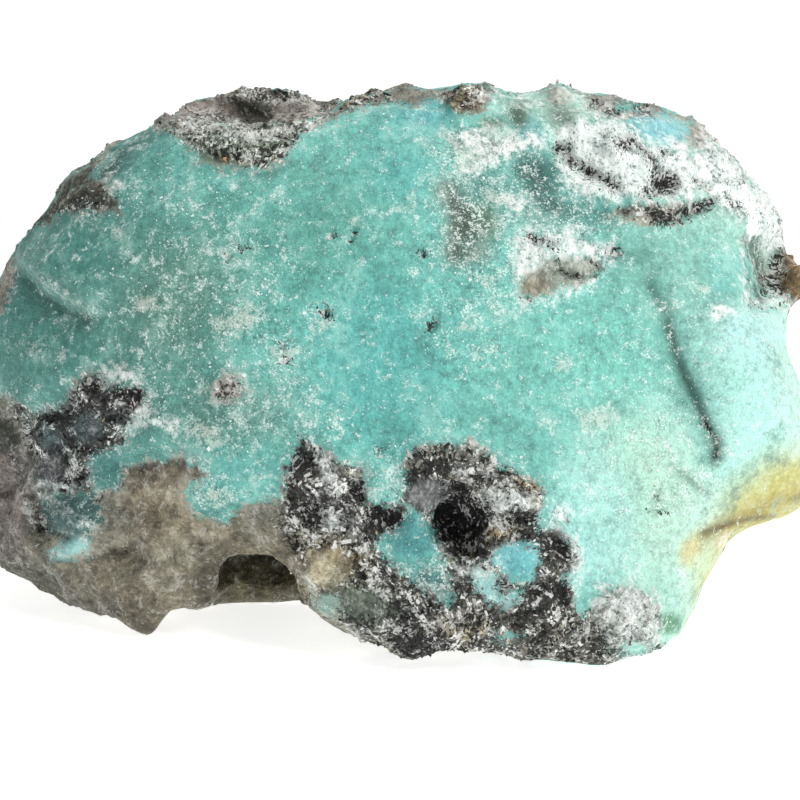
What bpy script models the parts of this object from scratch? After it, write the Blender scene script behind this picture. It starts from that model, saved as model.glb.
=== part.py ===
"""Rough turquoise: one broken stone with a smooth blue-green face, a rough
crust along its top and a cluster of dark matrix at its foot.

Its front was measured by sight. A sighting plane stands in front of the eye,
and a point of the stone is given as (across, up, back): where it appears on
that plane, and how far behind the plane it lies.
"""

import math

import bmesh
import bpy
import numpy as np
from mathutils import Vector, kdtree, noise

NODE = "turquoise_stone"
MM = 0.001

# The sighting plane: the eye's distance from it, its lean and the height of its centre
EYE_DISTANCE = 111.1
EYE_TILT = math.radians(10.0)
PLANE_HEIGHT = 27.3

# How far the stone reaches behind the plane, and how square its back is
STONE_BACK = 47.0
BACK_SQUARENESS = 2.5
OUTLINE_CENTRE = (0.0, 0.5)

# Working fineness: the first loft, the even skin it is given, and the finished facets
LOFT_AROUND = 320
LOFT_RINGS = 104
SKIN_SIZE = 0.7
FINISHED_TRIANGLES = 9700
NEXT_TO_NOTHING = 1e-9

# How soon the front's rings reach out to the outline
FRONT_FULLNESS = 1.5

# The outline, clockwise from the far left, in stretches of (across, up).
# Each stretch says how broadly its edge is rounded, and the rounding passes softly to the next
LEFT_SHOULDER = 4.5, (
    (-41.1, 10.2), (-40.0, 12.0), (-38.1, 15.6), (-36.6, 17.1), (-33.4, 22.0), (-31.1, 24.0),
    (-27.8, 25.8), (-25.0, 27.3),
)
FAR_LUMP = 3.0, (
    (-23.3, 28.3), (-22.5, 29.0), (-19.6, 30.3), (-16.8, 31.0), (-14.5, 30.7), (-12.9, 31.2),
    (-10.2, 30.7), (-8.4, 29.7), (-7.0, 29.5),
)
CREST = 3.0, (
    (-5.5, 30.3), (-2.0, 30.7), (0.4, 31.3), (2.0, 31.3), (3.5, 31.1), (6.1, 31.7), (8.9, 31.7),
    (10.2, 30.9), (11.2, 30.4), (12.6, 30.7), (14.0, 30.8), (15.0, 31.4), (16.0, 31.6), (17.3, 30.7),
    (19.8, 30.6), (22.9, 29.8), (25.5, 29.4),
)
RIGHT_SHOULDER = 4.0, (
    (27.5, 29.1), (28.1, 28.4), (29.3, 27.7), (31.4, 26.6), (32.0, 25.0), (33.9, 24.0), (34.8, 21.9),
    (36.6, 20.5), (38.0, 18.0), (38.4, 15.4),
)
SIDE_KNOB = 1.6, ((39.4, 13.7), (40.6, 12.8), (41.0, 11.8), (40.6, 10.9), (39.2, 10.0))
RIGHT_END = 4.5, (
    (38.7, 8.2), (38.4, 6.2), (39.2, 3.6), (40.0, 1.2), (41.2, -1.2), (42.0, -4.0), (42.1, -6.6),
    (41.6, -8.8), (40.6, -10.5),
)
RIGHT_UNDERCUT = 4.0, (
    (39.3, -11.2), (37.4, -12.0), (34.8, -12.6), (33.5, -13.3), (32.8, -14.7), (31.1, -16.5),
    (29.9, -19.1), (28.9, -21.8),
)
FRONT_FOOT = 3.2, (
    (27.9, -23.8), (25.0, -25.1), (22.4, -25.9), (20.4, -27.1), (18.3, -26.6), (16.0, -26.2),
    (12.1, -25.8), (8.8, -24.9), (5.5, -24.5), (3.2, -25.0), (1.0, -26.0), (-1.0, -25.2),
    (-2.4, -24.2), (-6.0, -22.9), (-7.9, -21.6),
)
ARCH = 2.0, (
    (-11.6, -20.6), (-15.5, -20.4), (-19.2, -20.8), (-20.8, -20.3), (-22.7, -20.7), (-23.9, -21.6),
)
LEFT_FOOT = 1.4, ((-24.2, -22.8), (-24.6, -24.6), (-25.8, -23.8), (-27.0, -22.9))
LEFT_UNDERCUT = 4.0, (
    (-28.5, -22.0), (-31.4, -21.4), (-33.9, -19.8), (-37.0, -17.9), (-38.8, -17.1), (-40.0, -16.4),
)
LEFT_END = 4.5, (
    (-41.1, -15.3), (-41.8, -13.4), (-42.2, -10.5), (-42.3, -7.0), (-42.1, -3.0), (-41.8, 1.0),
    (-41.5, 5.0), (-41.3, 8.2),
)
OUTLINE = (
    LEFT_SHOULDER, FAR_LUMP, CREST, RIGHT_SHOULDER, SIDE_KNOB, RIGHT_END, RIGHT_UNDERCUT, FRONT_FOOT,
    ARCH, LEFT_FOOT, LEFT_UNDERCUT, LEFT_END,
)
ROUNDING_BLUR = (1.0, 2.0, 3.0, 2.0, 1.0)

# How far back the front lies, at chosen places: (across, up, back)
FACE_DEPTHS = (
    # the broad middle face
    (0.0, 0.0, 0.0), (-10.0, 10.0, 1.0), (10.0, 10.0, 0.5), (-20.0, 10.0, 2.4), (-10.0, -3.0, 0.4),
    (0.0, -5.0, -0.5), (10.0, -3.0, -0.5), (20.0, -3.0, 0.0), (-20.0, -3.0, 2.4), (0.0, 20.0, 2.0),
    (-10.0, 20.0, 2.6), (-18.0, 20.0, 3.4), (8.0, 20.0, 2.5), (0.0, 27.0, 4.5),
    # the left shoulder and the crust along the top
    (-25.0, 10.0, 3.6), (-30.0, 14.0, 5.2), (-34.0, 16.0, 8.0), (-37.0, 15.0, 10.0), (-25.0, 20.0, 5.2),
    (-29.0, 22.0, 7.4), (-17.0, 25.0, 6.0), (-23.0, 25.0, 7.6), (-10.0, 26.0, 6.0), (0.0, 30.0, 7.0),
    (8.0, 29.0, 5.8), (16.0, 20.0, 3.0), (16.0, 29.0, 7.2), (24.0, 20.0, 4.6), (24.0, 27.0, 7.8),
    (29.0, 25.0, 9.6), (32.0, 21.0, 9.2), (35.0, 18.0, 11.0), (37.5, 14.5, 14.0),
    # the flat facet and the lobe on the right
    (24.0, 14.0, 3.0), (30.0, 13.0, 4.2), (35.0, 11.0, 6.0), (38.0, 9.0, 7.5), (24.0, 6.0, 1.5),
    (28.0, 2.0, 2.4), (34.0, 2.0, 2.0), (38.5, 3.0, 5.0), (34.0, -4.0, 3.0), (40.0, -4.0, 6.0),
    (42.0, -6.0, 8.0), (30.0, -10.0, 2.6), (36.0, -10.0, 6.0), (24.0, -8.0, 0.6),
    # the foot of the front with its matrix
    (20.0, -16.0, -0.6), (24.0, -20.0, 0.2), (28.0, -20.0, 2.6), (26.0, -24.0, 2.0), (20.0, -24.0, -0.4),
    (16.0, -20.0, -2.0), (8.0, -12.0, -3.0), (12.0, -10.0, -2.6), (4.0, -8.0, -2.0), (0.0, -12.0, -2.0),
    (-6.0, -12.0, 0.0), (-10.0, -10.0, 1.0), (2.0, -22.0, -1.4), (8.0, -23.0, -2.0), (14.0, -24.0, -1.4),
    (-6.0, -20.0, 1.4),
    # the left end, its lobe and the matrix below it
    (-25.0, 0.0, 4.0), (-30.0, 6.0, 6.2), (-35.0, 7.0, 8.2), (-39.0, 8.0, 11.0), (-36.0, 2.0, 9.4),
    (-40.0, 2.0, 12.6), (-42.0, 0.0, 14.5), (-32.0, -2.0, 8.4), (-32.0, -8.0, 8.8), (-37.0, -6.0, 12.6),
    (-40.0, -8.0, 14.0), (-42.0, -10.0, 15.5), (-30.0, -13.0, 8.8), (-35.0, -15.0, 11.0),
    (-25.0, -8.0, 5.6), (-25.0, -14.0, 6.4), (-20.0, -10.0, 3.4), (-20.0, -16.0, 6.0),
    (-25.0, -19.0, 7.4), (-28.0, -19.0, 8.8), (-24.8, -23.4, 9.0), (-15.0, -13.0, 3.4),
)

# The lip along the top left. The far lump stands behind it, its foot hidden, and leans forward
LIP = (
    (-25.2, 27.0), (-24.2, 27.9), (-23.4, 28.4), (-22.0, 28.2), (-19.3, 27.8), (-16.6, 27.1),
    (-14.0, 27.0), (-12.2, 27.6), (-10.0, 27.9), (-7.8, 27.9), (-6.4, 28.9), (-5.6, 30.4),
)
LUMP_FOOT_BACK = 27.0
LUMP_LEAN = 1.8
LIP_WIDTH = 0.7

# The mouth of the hollow under the left side, and how far back its wall lies
CAVE_MOUTH = (
    (-7.4, -22.6), (-8.6, -20.6), (-10.0, -18.2), (-11.6, -16.1), (-12.9, -15.3), (-15.8, -15.0),
    (-17.0, -15.5), (-17.5, -16.8), (-17.8, -18.2), (-18.8, -19.8), (-19.6, -21.4), (-14.0, -24.0),
)
CAVE_CEILING_BACK = 13.5
CAVE_FLOOR_BACK = 19.5
CAVE_CEILING_UP = -15.0
CAVE_WALL_DROP = 5.5
CAVE_EDGE = (-0.2, 1.1)

# The recess on the right, past the sharp edge of the flat facet
SIDE_RECESS = (
    (34.2, 16.0), (34.5, 12.0), (34.9, 9.4), (36.6, 8.6), (39.6, 8.8), (40.6, 11.0), (40.0, 14.6),
    (37.0, 17.2),
)
SIDE_RECESS_STEP = 4.2
SIDE_RECESS_EDGE = 0.9

# Hollows that the eye can't look into: centre and radii, as (x, y, z)
SCOOPS = (
    ((-16.0, 21.5, 58.0), (9.5, 6.0, 6.0)),
    ((-15.2, 10.5, 7.5), (6.2, 8.5, 5.0)),
)

# Broken faces at the back and the ends: a point on each and the way it faces
BREAKS = (
    ((0.0, 43.5, 30.0), (0.06, 0.97, 0.20)),
    ((-37.0, 37.5, 24.0), (-0.60, 0.78, 0.10)),
    ((36.0, 33.0, 26.0), (0.62, 0.78, -0.06)),
    ((-15.0, 36.0, 57.0), (-0.10, 0.80, 0.60)),
    ((20.0, 31.0, 51.0), (0.30, 0.78, 0.55)),
    ((0.0, 38.0, 9.0), (-0.08, 0.74, -0.66)),
    ((-40.0, 30.0, 5.0), (-0.55, 0.50, -0.67)),
    ((38.0, 18.7, 8.0), (0.50, 0.45, -0.74)),
    ((35.0, 35.5, 45.0), (0.62, 0.60, 0.50)),
    ((-38.0, 34.0, 45.0), (-0.55, 0.65, 0.52)),
)

# The underside's height at chosen places, as (x, y, height), and where it stands
FOOT_DIP = -0.4
FEET = (
    (1.0, 1.2), (18.5, 1.0), (-27.2, 5.4), (-15.5, 17.0), (-20.5, 17.5), (14.0, 29.0), (-15.0, 32.0),
)
UNDERSIDE = (
    (10.0, 13.0, 2.4), (-4.0, 24.0, 2.2), (-5.0, 6.0, 1.4), (-24.0, 25.0, 2.4), (-36.0, 9.0, 0.6),
    (-40.0, 12.0, 2.0), (-46.0, 15.5, 3.8), (-49.0, 20.0, 5.4), (-36.0, 20.0, 4.6), (-40.0, 30.0, 8.0),
    (30.0, 1.0, 0.6), (32.0, 6.0, 4.0), (34.0, 14.0, 8.0), (38.0, 6.0, 9.5), (42.0, 10.0, 11.6),
    (47.0, 14.0, 12.6), (44.0, 24.0, 16.0), (34.0, 28.0, 9.0), (26.0, 34.0, 4.4), (0.0, 40.0, 5.0),
    (24.0, 16.0, 2.4), (-28.0, 38.0, 6.4),
)

# Relief on the front, in sighted places. Creases: a path, its width and its depth
CREASES = (
    # the long groove beside the right lobe
    (
        ((25.3, 11.2), (26.7, 8.3), (27.4, 5.0), (28.6, 2.4), (30.0, -0.8), (31.9, -4.0), (31.6, -6.0)),
        1.3, 0.8,
    ),
    (((27.2, -6.6), (28.9, -7.8), (30.2, -9.0)), 1.3, 0.8),
    # cracks at the left end and under it
    (((-29.8, 4.8), (-27.8, 3.4)), 1.2, 0.5),
    (((-36.9, -10.0), (-35.6, -11.4), (-35.3, -13.6)), 1.4, 1.4),
    (((-29.6, -14.6), (-27.8, -15.0), (-26.4, -15.8)), 1.6, 1.6),
    # cracks beside the knob on the right
    (((35.3, 9.4), (37.0, 9.0), (38.8, 8.8)), 1.2, 1.2),
)
CREASE_SHARPNESS = 1.3

# Ledges: a path with the high side on its left, how far the step is felt, and its height
LEDGES = (
    # the step down to the left lobe
    (((-39.0, 15.0), (-37.5, 13.4), (-35.5, 11.1), (-33.6, 10.3), (-32.1, 9.5), (-30.6, 8.0)), 4.5, 2.4),
    # the left lobe's lower brink, over the dark matrix
    (((-40.0, 0.4), (-37.6, -1.0), (-34.0, 1.2), (-30.6, 2.6), (-28.0, 2.8)), 2.6, 1.2),
    # the lower left brink, where the stone turns under
    (((-40.6, -10.4), (-38.4, -14.6), (-35.6, -16.9), (-33.4, -17.6)), 3.0, 1.8),
    # the crust's thick edge above the groove on the right
    (((31.4, -11.0), (29.2, -8.4), (26.9, -6.6)), 2.4, 0.9),
    # the white crust over the flat facet on the right
    (((33.4, 18.6), (28.6, 17.4), (22.6, 17.2), (18.0, 19.0)), 2.4, -1.3),
    # the quartz patch above the middle
    (((21.0, 12.6), (17.0, 10.4), (13.0, 9.8), (11.4, 12.0)), 2.4, -0.9),
    # the matrix cluster's upper brink
    (((-11.2, -5.4), (-9.4, -3.6), (-6.6, -5.0), (-3.2, -6.4), (-3.4, -9.8)), 2.0, 0.8),
    (((0.6, -7.8), (2.6, -4.4), (7.6, -4.6), (10.4, -6.8), (14.6, -8.6), (15.2, -10.6)), 2.2, 1.2),
)
LEDGE_STEP_WIDTH = 0.5
LEDGE_RUN_OUT = 0.8

# Lumps, and pits where the height is below nothing: centre, radii, turn in degrees, height
LUMPS = (
    # the cluster: its pit with a dark core, the glittering knob, and the blocks round them
    ((5.6, -12.6), (3.5, 4.7), 12.0, -4.8),
    ((4.4, -11.3), (1.8, 2.6), 10.0, -2.2),
    ((11.2, -9.8), (3.6, 2.8), -24.0, 1.8),
    ((12.4, -12.4), (2.2, 1.2), -10.0, -0.9),
    ((3.2, -6.6), (3.2, 2.0), -8.0, 1.0),
    ((16.2, -15.0), (2.2, 2.8), 20.0, 1.5),
    ((14.4, -19.6), (3.0, 2.4), 0.0, 1.1),
    ((11.0, -18.8), (1.1, 1.1), 0.0, -1.1),
    ((-1.4, -11.6), (2.4, 1.5), -8.0, -1.3),
    ((-4.2, -9.0), (1.2, 2.6), 6.0, -0.9),
    ((-8.0, -7.6), (3.4, 3.6), 20.0, 1.3),
    ((-7.6, -16.4), (4.2, 3.0), 0.0, 0.9),
    ((1.2, -23.6), (3.2, 2.0), -10.0, 1.5),
    ((7.6, -22.6), (3.0, 1.4), 0.0, -0.7),
    ((22.8, -21.2), (3.2, 3.2), 0.0, 0.8),
    # the left end: the hollow beside the frame of crust, and the lumps of matrix
    ((-39.0, -5.4), (2.2, 5.0), -8.0, -2.6),
    ((-28.8, 0.6), (3.8, 2.2), 14.0, 1.3),
    ((-34.8, -3.2), (2.6, 2.2), 0.0, 1.2),
    ((-31.0, -4.0), (2.2, 1.8), 0.0, 1.0),
    ((-32.4, -11.6), (3.0, 2.0), -12.0, 1.5),
    ((-29.4, -9.4), (1.8, 1.6), 0.0, -1.0),
    ((-24.2, -9.6), (4.4, 3.2), -10.0, 0.9),
    ((-32.6, -14.8), (2.4, 1.2), 0.0, 0.9),
    ((-19.0, -10.2), (3.4, 2.0), 10.0, 0.8),
    # the crest: its brown knobs and the pale one
    ((-23.7, 28.1), (1.1, 1.0), 0.0, 1.0),
    ((-4.2, 30.0), (1.8, 1.2), 0.0, 0.9),
    ((6.8, 30.2), (2.8, 1.8), 10.0, 1.3),
    ((16.0, 30.6), (2.0, 1.6), 0.0, 1.1),
    ((2.2, 28.6), (2.6, 1.6), 0.0, 0.6),
    ((-18.0, 25.4), (5.0, 1.8), 8.0, 0.9),
    ((-31.8, 20.0), (3.2, 1.6), 18.0, 0.8),
    # dark pockets in the white crust
    ((16.5, 25.0), (1.5, 1.2), 0.0, -1.2),
    ((19.2, 22.8), (2.8, 1.2), -36.0, -1.5),
    ((23.8, 25.4), (2.2, 1.1), -14.0, -1.0),
    ((26.2, 21.8), (2.2, 2.0), 0.0, -1.5),
    ((28.8, 18.6), (3.0, 1.0), 24.0, -1.2),
    ((30.6, 24.6), (3.0, 2.4), -40.0, 1.0),
    ((34.0, 20.4), (2.4, 3.0), 20.0, 1.0),
    # the recess on the right and the brown knob in it
    ((37.1, 12.6), (1.4, 1.8), 0.0, -1.8),
    ((36.5, 10.4), (1.0, 1.0), 0.0, -1.1),
    ((39.8, 11.8), (1.9, 2.1), 0.0, 1.8),
    # the swell of the right lobe and the low middle of the face
    ((35.0, 0.6), (6.5, 8.0), 8.0, 1.1),
    ((-17.5, 1.0), (3.0, 2.4), 0.0, 0.35),
)
LUMP_ROUNDNESS = 1.2

# Where dark matrix or crust breaks into small blocks: centre, radii, turn, height of the blocks
BLOCKY = (
    ((-7.6, -9.4), (5.2, 6.2), 10.0, 1.2),
    ((7.4, -10.6), (7.6, 6.6), -20.0, 1.3),
    ((13.0, -18.6), (6.0, 7.0), 0.0, 1.2),
    ((2.0, -21.0), (9.0, 4.4), -8.0, 1.0),
    ((22.6, -21.6), (4.0, 4.0), 0.0, 0.8),
    ((-31.0, -3.6), (8.6, 6.0), 10.0, 1.0),
    ((-31.0, -12.4), (7.0, 4.6), 0.0, 0.8),
    ((-40.0, -8.0), (4.0, 9.0), 0.0, 1.0),
    ((-22.0, -10.0), (6.0, 4.0), 0.0, 0.7),
    ((-17.0, 26.0), (10.0, 3.0), 6.0, 0.9),
    ((6.0, 29.6), (14.0, 3.0), 0.0, 0.9),
    ((24.0, 23.0), (11.0, 6.4), -24.0, 1.2),
    ((35.0, 18.0), (4.6, 7.0), 24.0, 1.0),
    ((-33.0, 19.4), (5.0, 3.4), 38.0, 0.9),
    ((-15.0, 29.6), (9.0, 2.4), 0.0, 1.0),
)
BLOCKY_EDGE = (1.15, 0.7)
BLOCK_SIZE = 3.0
BLOCK_SEED = 3

# What the eye doesn't see is broken in large faces, and they in smaller ones: size, height and
# seed. Only the smallest reach round to the outline, and the face has only a low swell
BACK_BLOCKS = ((15.0, 2.0, 5), (6.5, 1.0, 6))
EDGE_BLOCKS = (3.0, 0.45, 7)
FACE_SWELL = 9.0
FACE_SWELL_HEIGHT = 0.35

# Relief fades in as a face turns to the eye or from it: the cosines where it starts and is whole
FADE_IN = (0.1, 0.6)
SWELL_FADE_IN = (0.0, 0.4)

# Near the ground the relief fades out, and what is within the snap of it is flattened to it
GROUND_FADE = (0.2, 3.0)
GROUND_SNAP = 0.12
CUT_TOLERANCE = 0.01


def sight(across, up, back):
    """Where a sighted point lies: x across, y away from the eye, z above the ground."""
    spread = (EYE_DISTANCE + back) / EYE_DISTANCE
    level = EYE_DISTANCE * math.cos(EYE_TILT)
    rise = EYE_DISTANCE * math.sin(EYE_TILT)
    x = spread * across
    y = spread * (level + up * math.sin(EYE_TILT)) - level
    z = PLANE_HEIGHT + rise + spread * (up * math.cos(EYE_TILT) - rise)
    return np.stack([x, y, z], axis=-1)


def sighted(points):
    """The other way round: (across, up, back) of each point, and the eye's line to it."""
    level = EYE_DISTANCE * math.cos(EYE_TILT)
    rise = EYE_DISTANCE * math.sin(EYE_TILT)
    line = points - np.array([0.0, -level, PLANE_HEIGHT + rise])
    ahead = np.array([0.0, math.cos(EYE_TILT), -math.sin(EYE_TILT)])
    above = np.array([0.0, math.sin(EYE_TILT), math.cos(EYE_TILT)])
    spread = line @ ahead / EYE_DISTANCE
    line_length = np.linalg.norm(line, axis=1, keepdims=True)
    return line[:, 0] / spread, line @ above / spread, (spread - 1.0) * EYE_DISTANCE, line / line_length


def smooth_step(low, high, value):
    part = np.clip((value - low) / (high - low), 0.0, 1.0)
    return part * part * (3.0 - 2.0 * part)


def bent_sheet(places):
    """A thin sheet bent to pass through places of (x, y, height), as a function of x and y."""
    places = np.array(places)
    spots = places[:, :2]

    def pull(one, other):
        square = ((one[:, None, :] - other[None, :, :]) ** 2).sum(axis=2)
        return 0.5 * square * np.log(np.maximum(square, NEXT_TO_NOTHING))

    count = len(spots)
    flat = np.column_stack([np.ones(count), spots])
    system = np.zeros((count + 3, count + 3))
    system[:count, :count] = pull(spots, spots)
    system[:count, count:] = flat
    system[count:, :count] = flat.T
    weights = np.linalg.solve(system, np.append(places[:, 2], [0.0, 0.0, 0.0]))

    def height(x, y):
        asked = np.column_stack([x, y])
        slope = np.column_stack([np.ones(len(asked)), asked])
        return pull(asked, spots) @ weights[:count] + slope @ weights[count:]

    return height


def distance_to_path(x, y, path, closed=False):
    """Distance to a path of short straight runs, which run is nearest and how far along it."""
    path = np.array(path)
    ends = np.roll(path, -1, axis=0) if closed else path[1:]
    starts = path if closed else path[:-1]
    run = ends - starts
    offset = np.stack([x, y], axis=1)[:, None, :] - starts[None, :, :]
    along = np.clip((offset * run).sum(axis=2) / (run ** 2).sum(axis=1), 0.0, 1.0)
    away = np.linalg.norm(offset - along[:, :, None] * run, axis=2)
    nearest = away.argmin(axis=1)
    picked = np.arange(len(x))
    return away[picked, nearest], nearest, along[picked, nearest]


def depth_inside(x, y, corners):
    """Distance in from the edge of a closed outline, below nothing outside it."""
    away, _, _ = distance_to_path(x, y, corners, closed=True)
    corners = np.array(corners)
    inside = np.zeros(len(x), dtype=bool)
    for (x0, y0), (x1, y1) in zip(corners, np.roll(corners, -1, axis=0)):
        crosses = (y0 > y) != (y1 > y)
        level = y1 - y0 if y1 != y0 else NEXT_TO_NOTHING
        inside ^= crosses & (x < x0 + (y - y0) * (x1 - x0) / level)
    return np.where(inside, away, -away)


def outline_points():
    """The outline at even steps, with the rounding of its edge at each."""
    corners = []
    rounding = []
    for edge, stretch in OUTLINE:
        corners.extend(stretch)
        rounding.extend([edge] * len(stretch))
    corners = np.array(corners + corners[:1])
    rounding = np.array(rounding + rounding[:1])
    steps = np.linalg.norm(np.diff(corners, axis=0), axis=1)
    reached = np.append(0.0, np.cumsum(steps))
    wanted = np.linspace(0.0, reached[-1], LOFT_AROUND, endpoint=False)
    across = np.interp(wanted, reached, corners[:, 0])
    up = np.interp(wanted, reached, corners[:, 1])
    edge = np.interp(wanted, reached, rounding)
    blur = np.array(ROUNDING_BLUR) / sum(ROUNDING_BLUR)
    reach = len(ROUNDING_BLUR) // 2
    edge = np.convolve(np.concatenate([edge[-reach:], edge, edge[:reach]]), blur, mode="valid")
    return across, up, edge


def face_depth(across, up, sheet):
    """How far back the front lies at each sighted place, with its three great steps."""
    back = sheet(across, up)
    lip_across, lip_up = np.array(LIP).T
    over_lip = up - np.interp(across, lip_across, lip_up, left=math.inf, right=math.inf)
    over_lip = np.maximum(over_lip, 0.0)
    past_lip = smooth_step(0.0, LIP_WIDTH, over_lip)
    lump_back = LUMP_FOOT_BACK - LUMP_LEAN * over_lip
    back = back + (lump_back - back) * past_lip

    in_cave = smooth_step(*CAVE_EDGE, depth_inside(across, up, CAVE_MOUTH))
    down_wall = np.clip((CAVE_CEILING_UP - up) / CAVE_WALL_DROP, 0.0, 1.0)
    cave_back = CAVE_CEILING_BACK + (CAVE_FLOOR_BACK - CAVE_CEILING_BACK) * down_wall
    back = back + (cave_back - back) * in_cave

    in_recess = smooth_step(0.0, SIDE_RECESS_EDGE, depth_inside(across, up, SIDE_RECESS))
    return back + SIDE_RECESS_STEP * in_recess


def rough_block():
    """The stone's body: rings that follow its outline, over the front and round the back."""
    ball = bmesh.new()
    bmesh.ops.create_uvsphere(ball, u_segments=LOFT_AROUND, v_segments=LOFT_RINGS, radius=1.0)
    places = np.array([vert.co for vert in ball.verts])
    turn = np.arctan2(places[:, 1], places[:, 0]) % (2.0 * math.pi)
    around = np.rint(turn / (2.0 * math.pi) * LOFT_AROUND).astype(int) % LOFT_AROUND
    from_front = np.arccos(np.clip(places[:, 2], -1.0, 1.0)) / (0.5 * math.pi)

    across, up, edge = outline_points()
    sheet = bent_sheet(FACE_DEPTHS)
    centre_across, centre_up = OUTLINE_CENTRE
    front = from_front <= 1.0
    toward_rim = np.where(front, from_front, 2.0 - from_front)
    front_reach = 1.0 - (1.0 - toward_rim) ** FRONT_FULLNESS
    back_reach = np.sin(toward_rim * 0.5 * math.pi) ** (2.0 / BACK_SQUARENESS)
    reach = np.where(front, front_reach, back_reach)
    at_across = centre_across + reach * (across[around] - centre_across)
    at_up = centre_up + reach * (up[around] - centre_up)

    rim_back = face_depth(across, up, sheet) + edge
    outline = np.stack([across, up], axis=1)
    from_rim, nearest, _ = distance_to_path(at_across, at_up, outline, closed=True)
    rounding = edge[nearest]
    shy = np.clip(rounding - from_rim, 0.0, rounding)
    front_back = face_depth(at_across, at_up, sheet) + rounding - np.sqrt(rounding ** 2 - shy ** 2)
    fall = np.cos(toward_rim * 0.5 * math.pi).clip(0.0, 1.0) ** (2.0 / BACK_SQUARENESS)
    back_back = rim_back[around] + (STONE_BACK - rim_back[around]) * fall
    points = sight(at_across, at_up, np.where(front, front_back, back_back))

    points = break_faces(points)
    underside = bent_sheet(UNDERSIDE + tuple((x, y, FOOT_DIP) for x, y in FEET))
    points[:, 2] = np.maximum(points[:, 2], underside(points[:, 0], points[:, 1]))
    for vert, point in zip(ball.verts, points):
        vert.co = point * MM
    bmesh.ops.recalc_face_normals(ball, faces=ball.faces)
    return ball


def break_faces(points):
    """Presses whatever stands past each broken face back onto it."""
    for spot, facing in BREAKS:
        facing = np.array(facing) / np.linalg.norm(facing)
        past = np.maximum((points - np.array(spot)) @ facing, 0.0)
        points = points - past[:, None] * facing
    return points


def even_skin(stone, size):
    """Rebuilds the stone's mesh as one closed skin of even faces."""
    remesh = stone.modifiers.new("even skin", "REMESH")
    remesh.mode = "VOXEL"
    remesh.voxel_size = size * MM
    bake_modifiers(stone)


def bake_modifiers(stone):
    """Keeps the mesh that the modifiers make, and takes them off."""
    graph = bpy.context.evaluated_depsgraph_get()
    shaped = bpy.data.meshes.new_from_object(stone.evaluated_get(graph))
    stone.modifiers.clear()
    old = stone.data
    stone.data = shaped
    bpy.data.meshes.remove(old)
    stone.data.name = NODE


def thin_out(stone, triangles):
    """Fewer, larger facets where the surface is plain."""
    thin = stone.modifiers.new("facets", "DECIMATE")
    stone.data.calc_loop_triangles()
    thin.ratio = triangles / len(stone.data.loop_triangles)
    thin.use_collapse_triangulate = True
    bake_modifiers(stone)


def skin_points(stone):
    """The mesh's points in millimetres, and the way the surface faces at each."""
    mesh = stone.data
    points = np.empty(len(mesh.vertices) * 3)
    mesh.vertices.foreach_get("co", points)
    normals = np.empty(len(mesh.vertices) * 3)
    mesh.vertices.foreach_get("normal", normals)
    return points.reshape(-1, 3) / MM, normals.reshape(-1, 3)


def move_skin(stone, points):
    stone.data.vertices.foreach_set("co", (points * MM).ravel())
    stone.data.update()


def scoop_out(stone, centre, radii):
    """Cuts an egg-shaped hollow."""
    egg = bmesh.new()
    bmesh.ops.create_icosphere(egg, subdivisions=4, radius=MM)
    bmesh.ops.scale(egg, vec=radii, verts=egg.verts)
    bmesh.ops.translate(egg, vec=Vector(centre) * MM, verts=egg.verts)
    cutter_mesh = bpy.data.meshes.new("scoop")
    egg.to_mesh(cutter_mesh)
    egg.free()
    cutter = bpy.data.objects.new("scoop", cutter_mesh)
    bpy.context.scene.collection.objects.link(cutter)
    cut = stone.modifiers.new("scoop", "BOOLEAN")
    cut.operation = "DIFFERENCE"
    cut.solver = "EXACT"
    cut.object = cutter
    bake_modifiers(stone)
    bpy.data.objects.remove(cutter)


def within_oval(across, up, centre, radii, turn):
    """Distance from an oval's centre, 1 on its edge."""
    lean = math.radians(turn)
    x = across - centre[0]
    y = up - centre[1]
    long_way = (x * math.cos(lean) + y * math.sin(lean)) / radii[0]
    short_way = (y * math.cos(lean) - x * math.sin(lean)) / radii[1]
    return np.hypot(long_way, short_way)


def blocks(points, size, seed):
    """Blocky breaks: the space is shared out in cells, and each cell's face leans its own way."""
    draw = np.random.default_rng(seed)
    low = points.min(axis=0) - size
    high = points.max(axis=0) + size
    count = math.ceil(np.prod((high - low) / size))
    seeds = low + draw.random((count, 3)) * (high - low)
    leans = draw.normal(size=(count, 3))
    leans /= np.linalg.norm(leans, axis=1, keepdims=True)
    tree = kdtree.KDTree(count)
    for index, seed_point in enumerate(seeds):
        tree.insert(seed_point, index)
    tree.balance()
    cell = np.array([tree.find(point)[1] for point in points])
    return ((points - seeds[cell]) * leans[cell]).sum(axis=1) / size


def front_relief(stone):
    """Creases, ledges, lumps and blocky matrix on the side that the eye sees."""
    points, normals = skin_points(stone)
    across, up, _, line = sighted(points)
    faces_eye = smooth_step(*FADE_IN, -(normals * line).sum(axis=1))
    rise = np.zeros(len(points))
    for path, width, depth in CREASES:
        away, _, _ = distance_to_path(across, up, path)
        rise -= depth * np.clip(1.0 - away / width, 0.0, 1.0) ** CREASE_SHARPNESS
    for path, reach, height in LEDGES:
        rise += ledge(across, up, np.array(path), reach, height)
    for centre, radii, turn, height in LUMPS:
        out = within_oval(across, up, centre, radii, turn)
        rise += height * np.clip(1.0 - out ** 2, 0.0, 1.0) ** LUMP_ROUNDNESS
    broken = np.zeros(len(points))
    for centre, radii, turn, height in BLOCKY:
        out = within_oval(across, up, centre, radii, turn)
        broken = np.maximum(broken, height * smooth_step(*BLOCKY_EDGE, out))
    rise += broken * blocks(points, BLOCK_SIZE, BLOCK_SEED)
    move_skin(stone, points + normals * (rise * faces_eye)[:, None])


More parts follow.
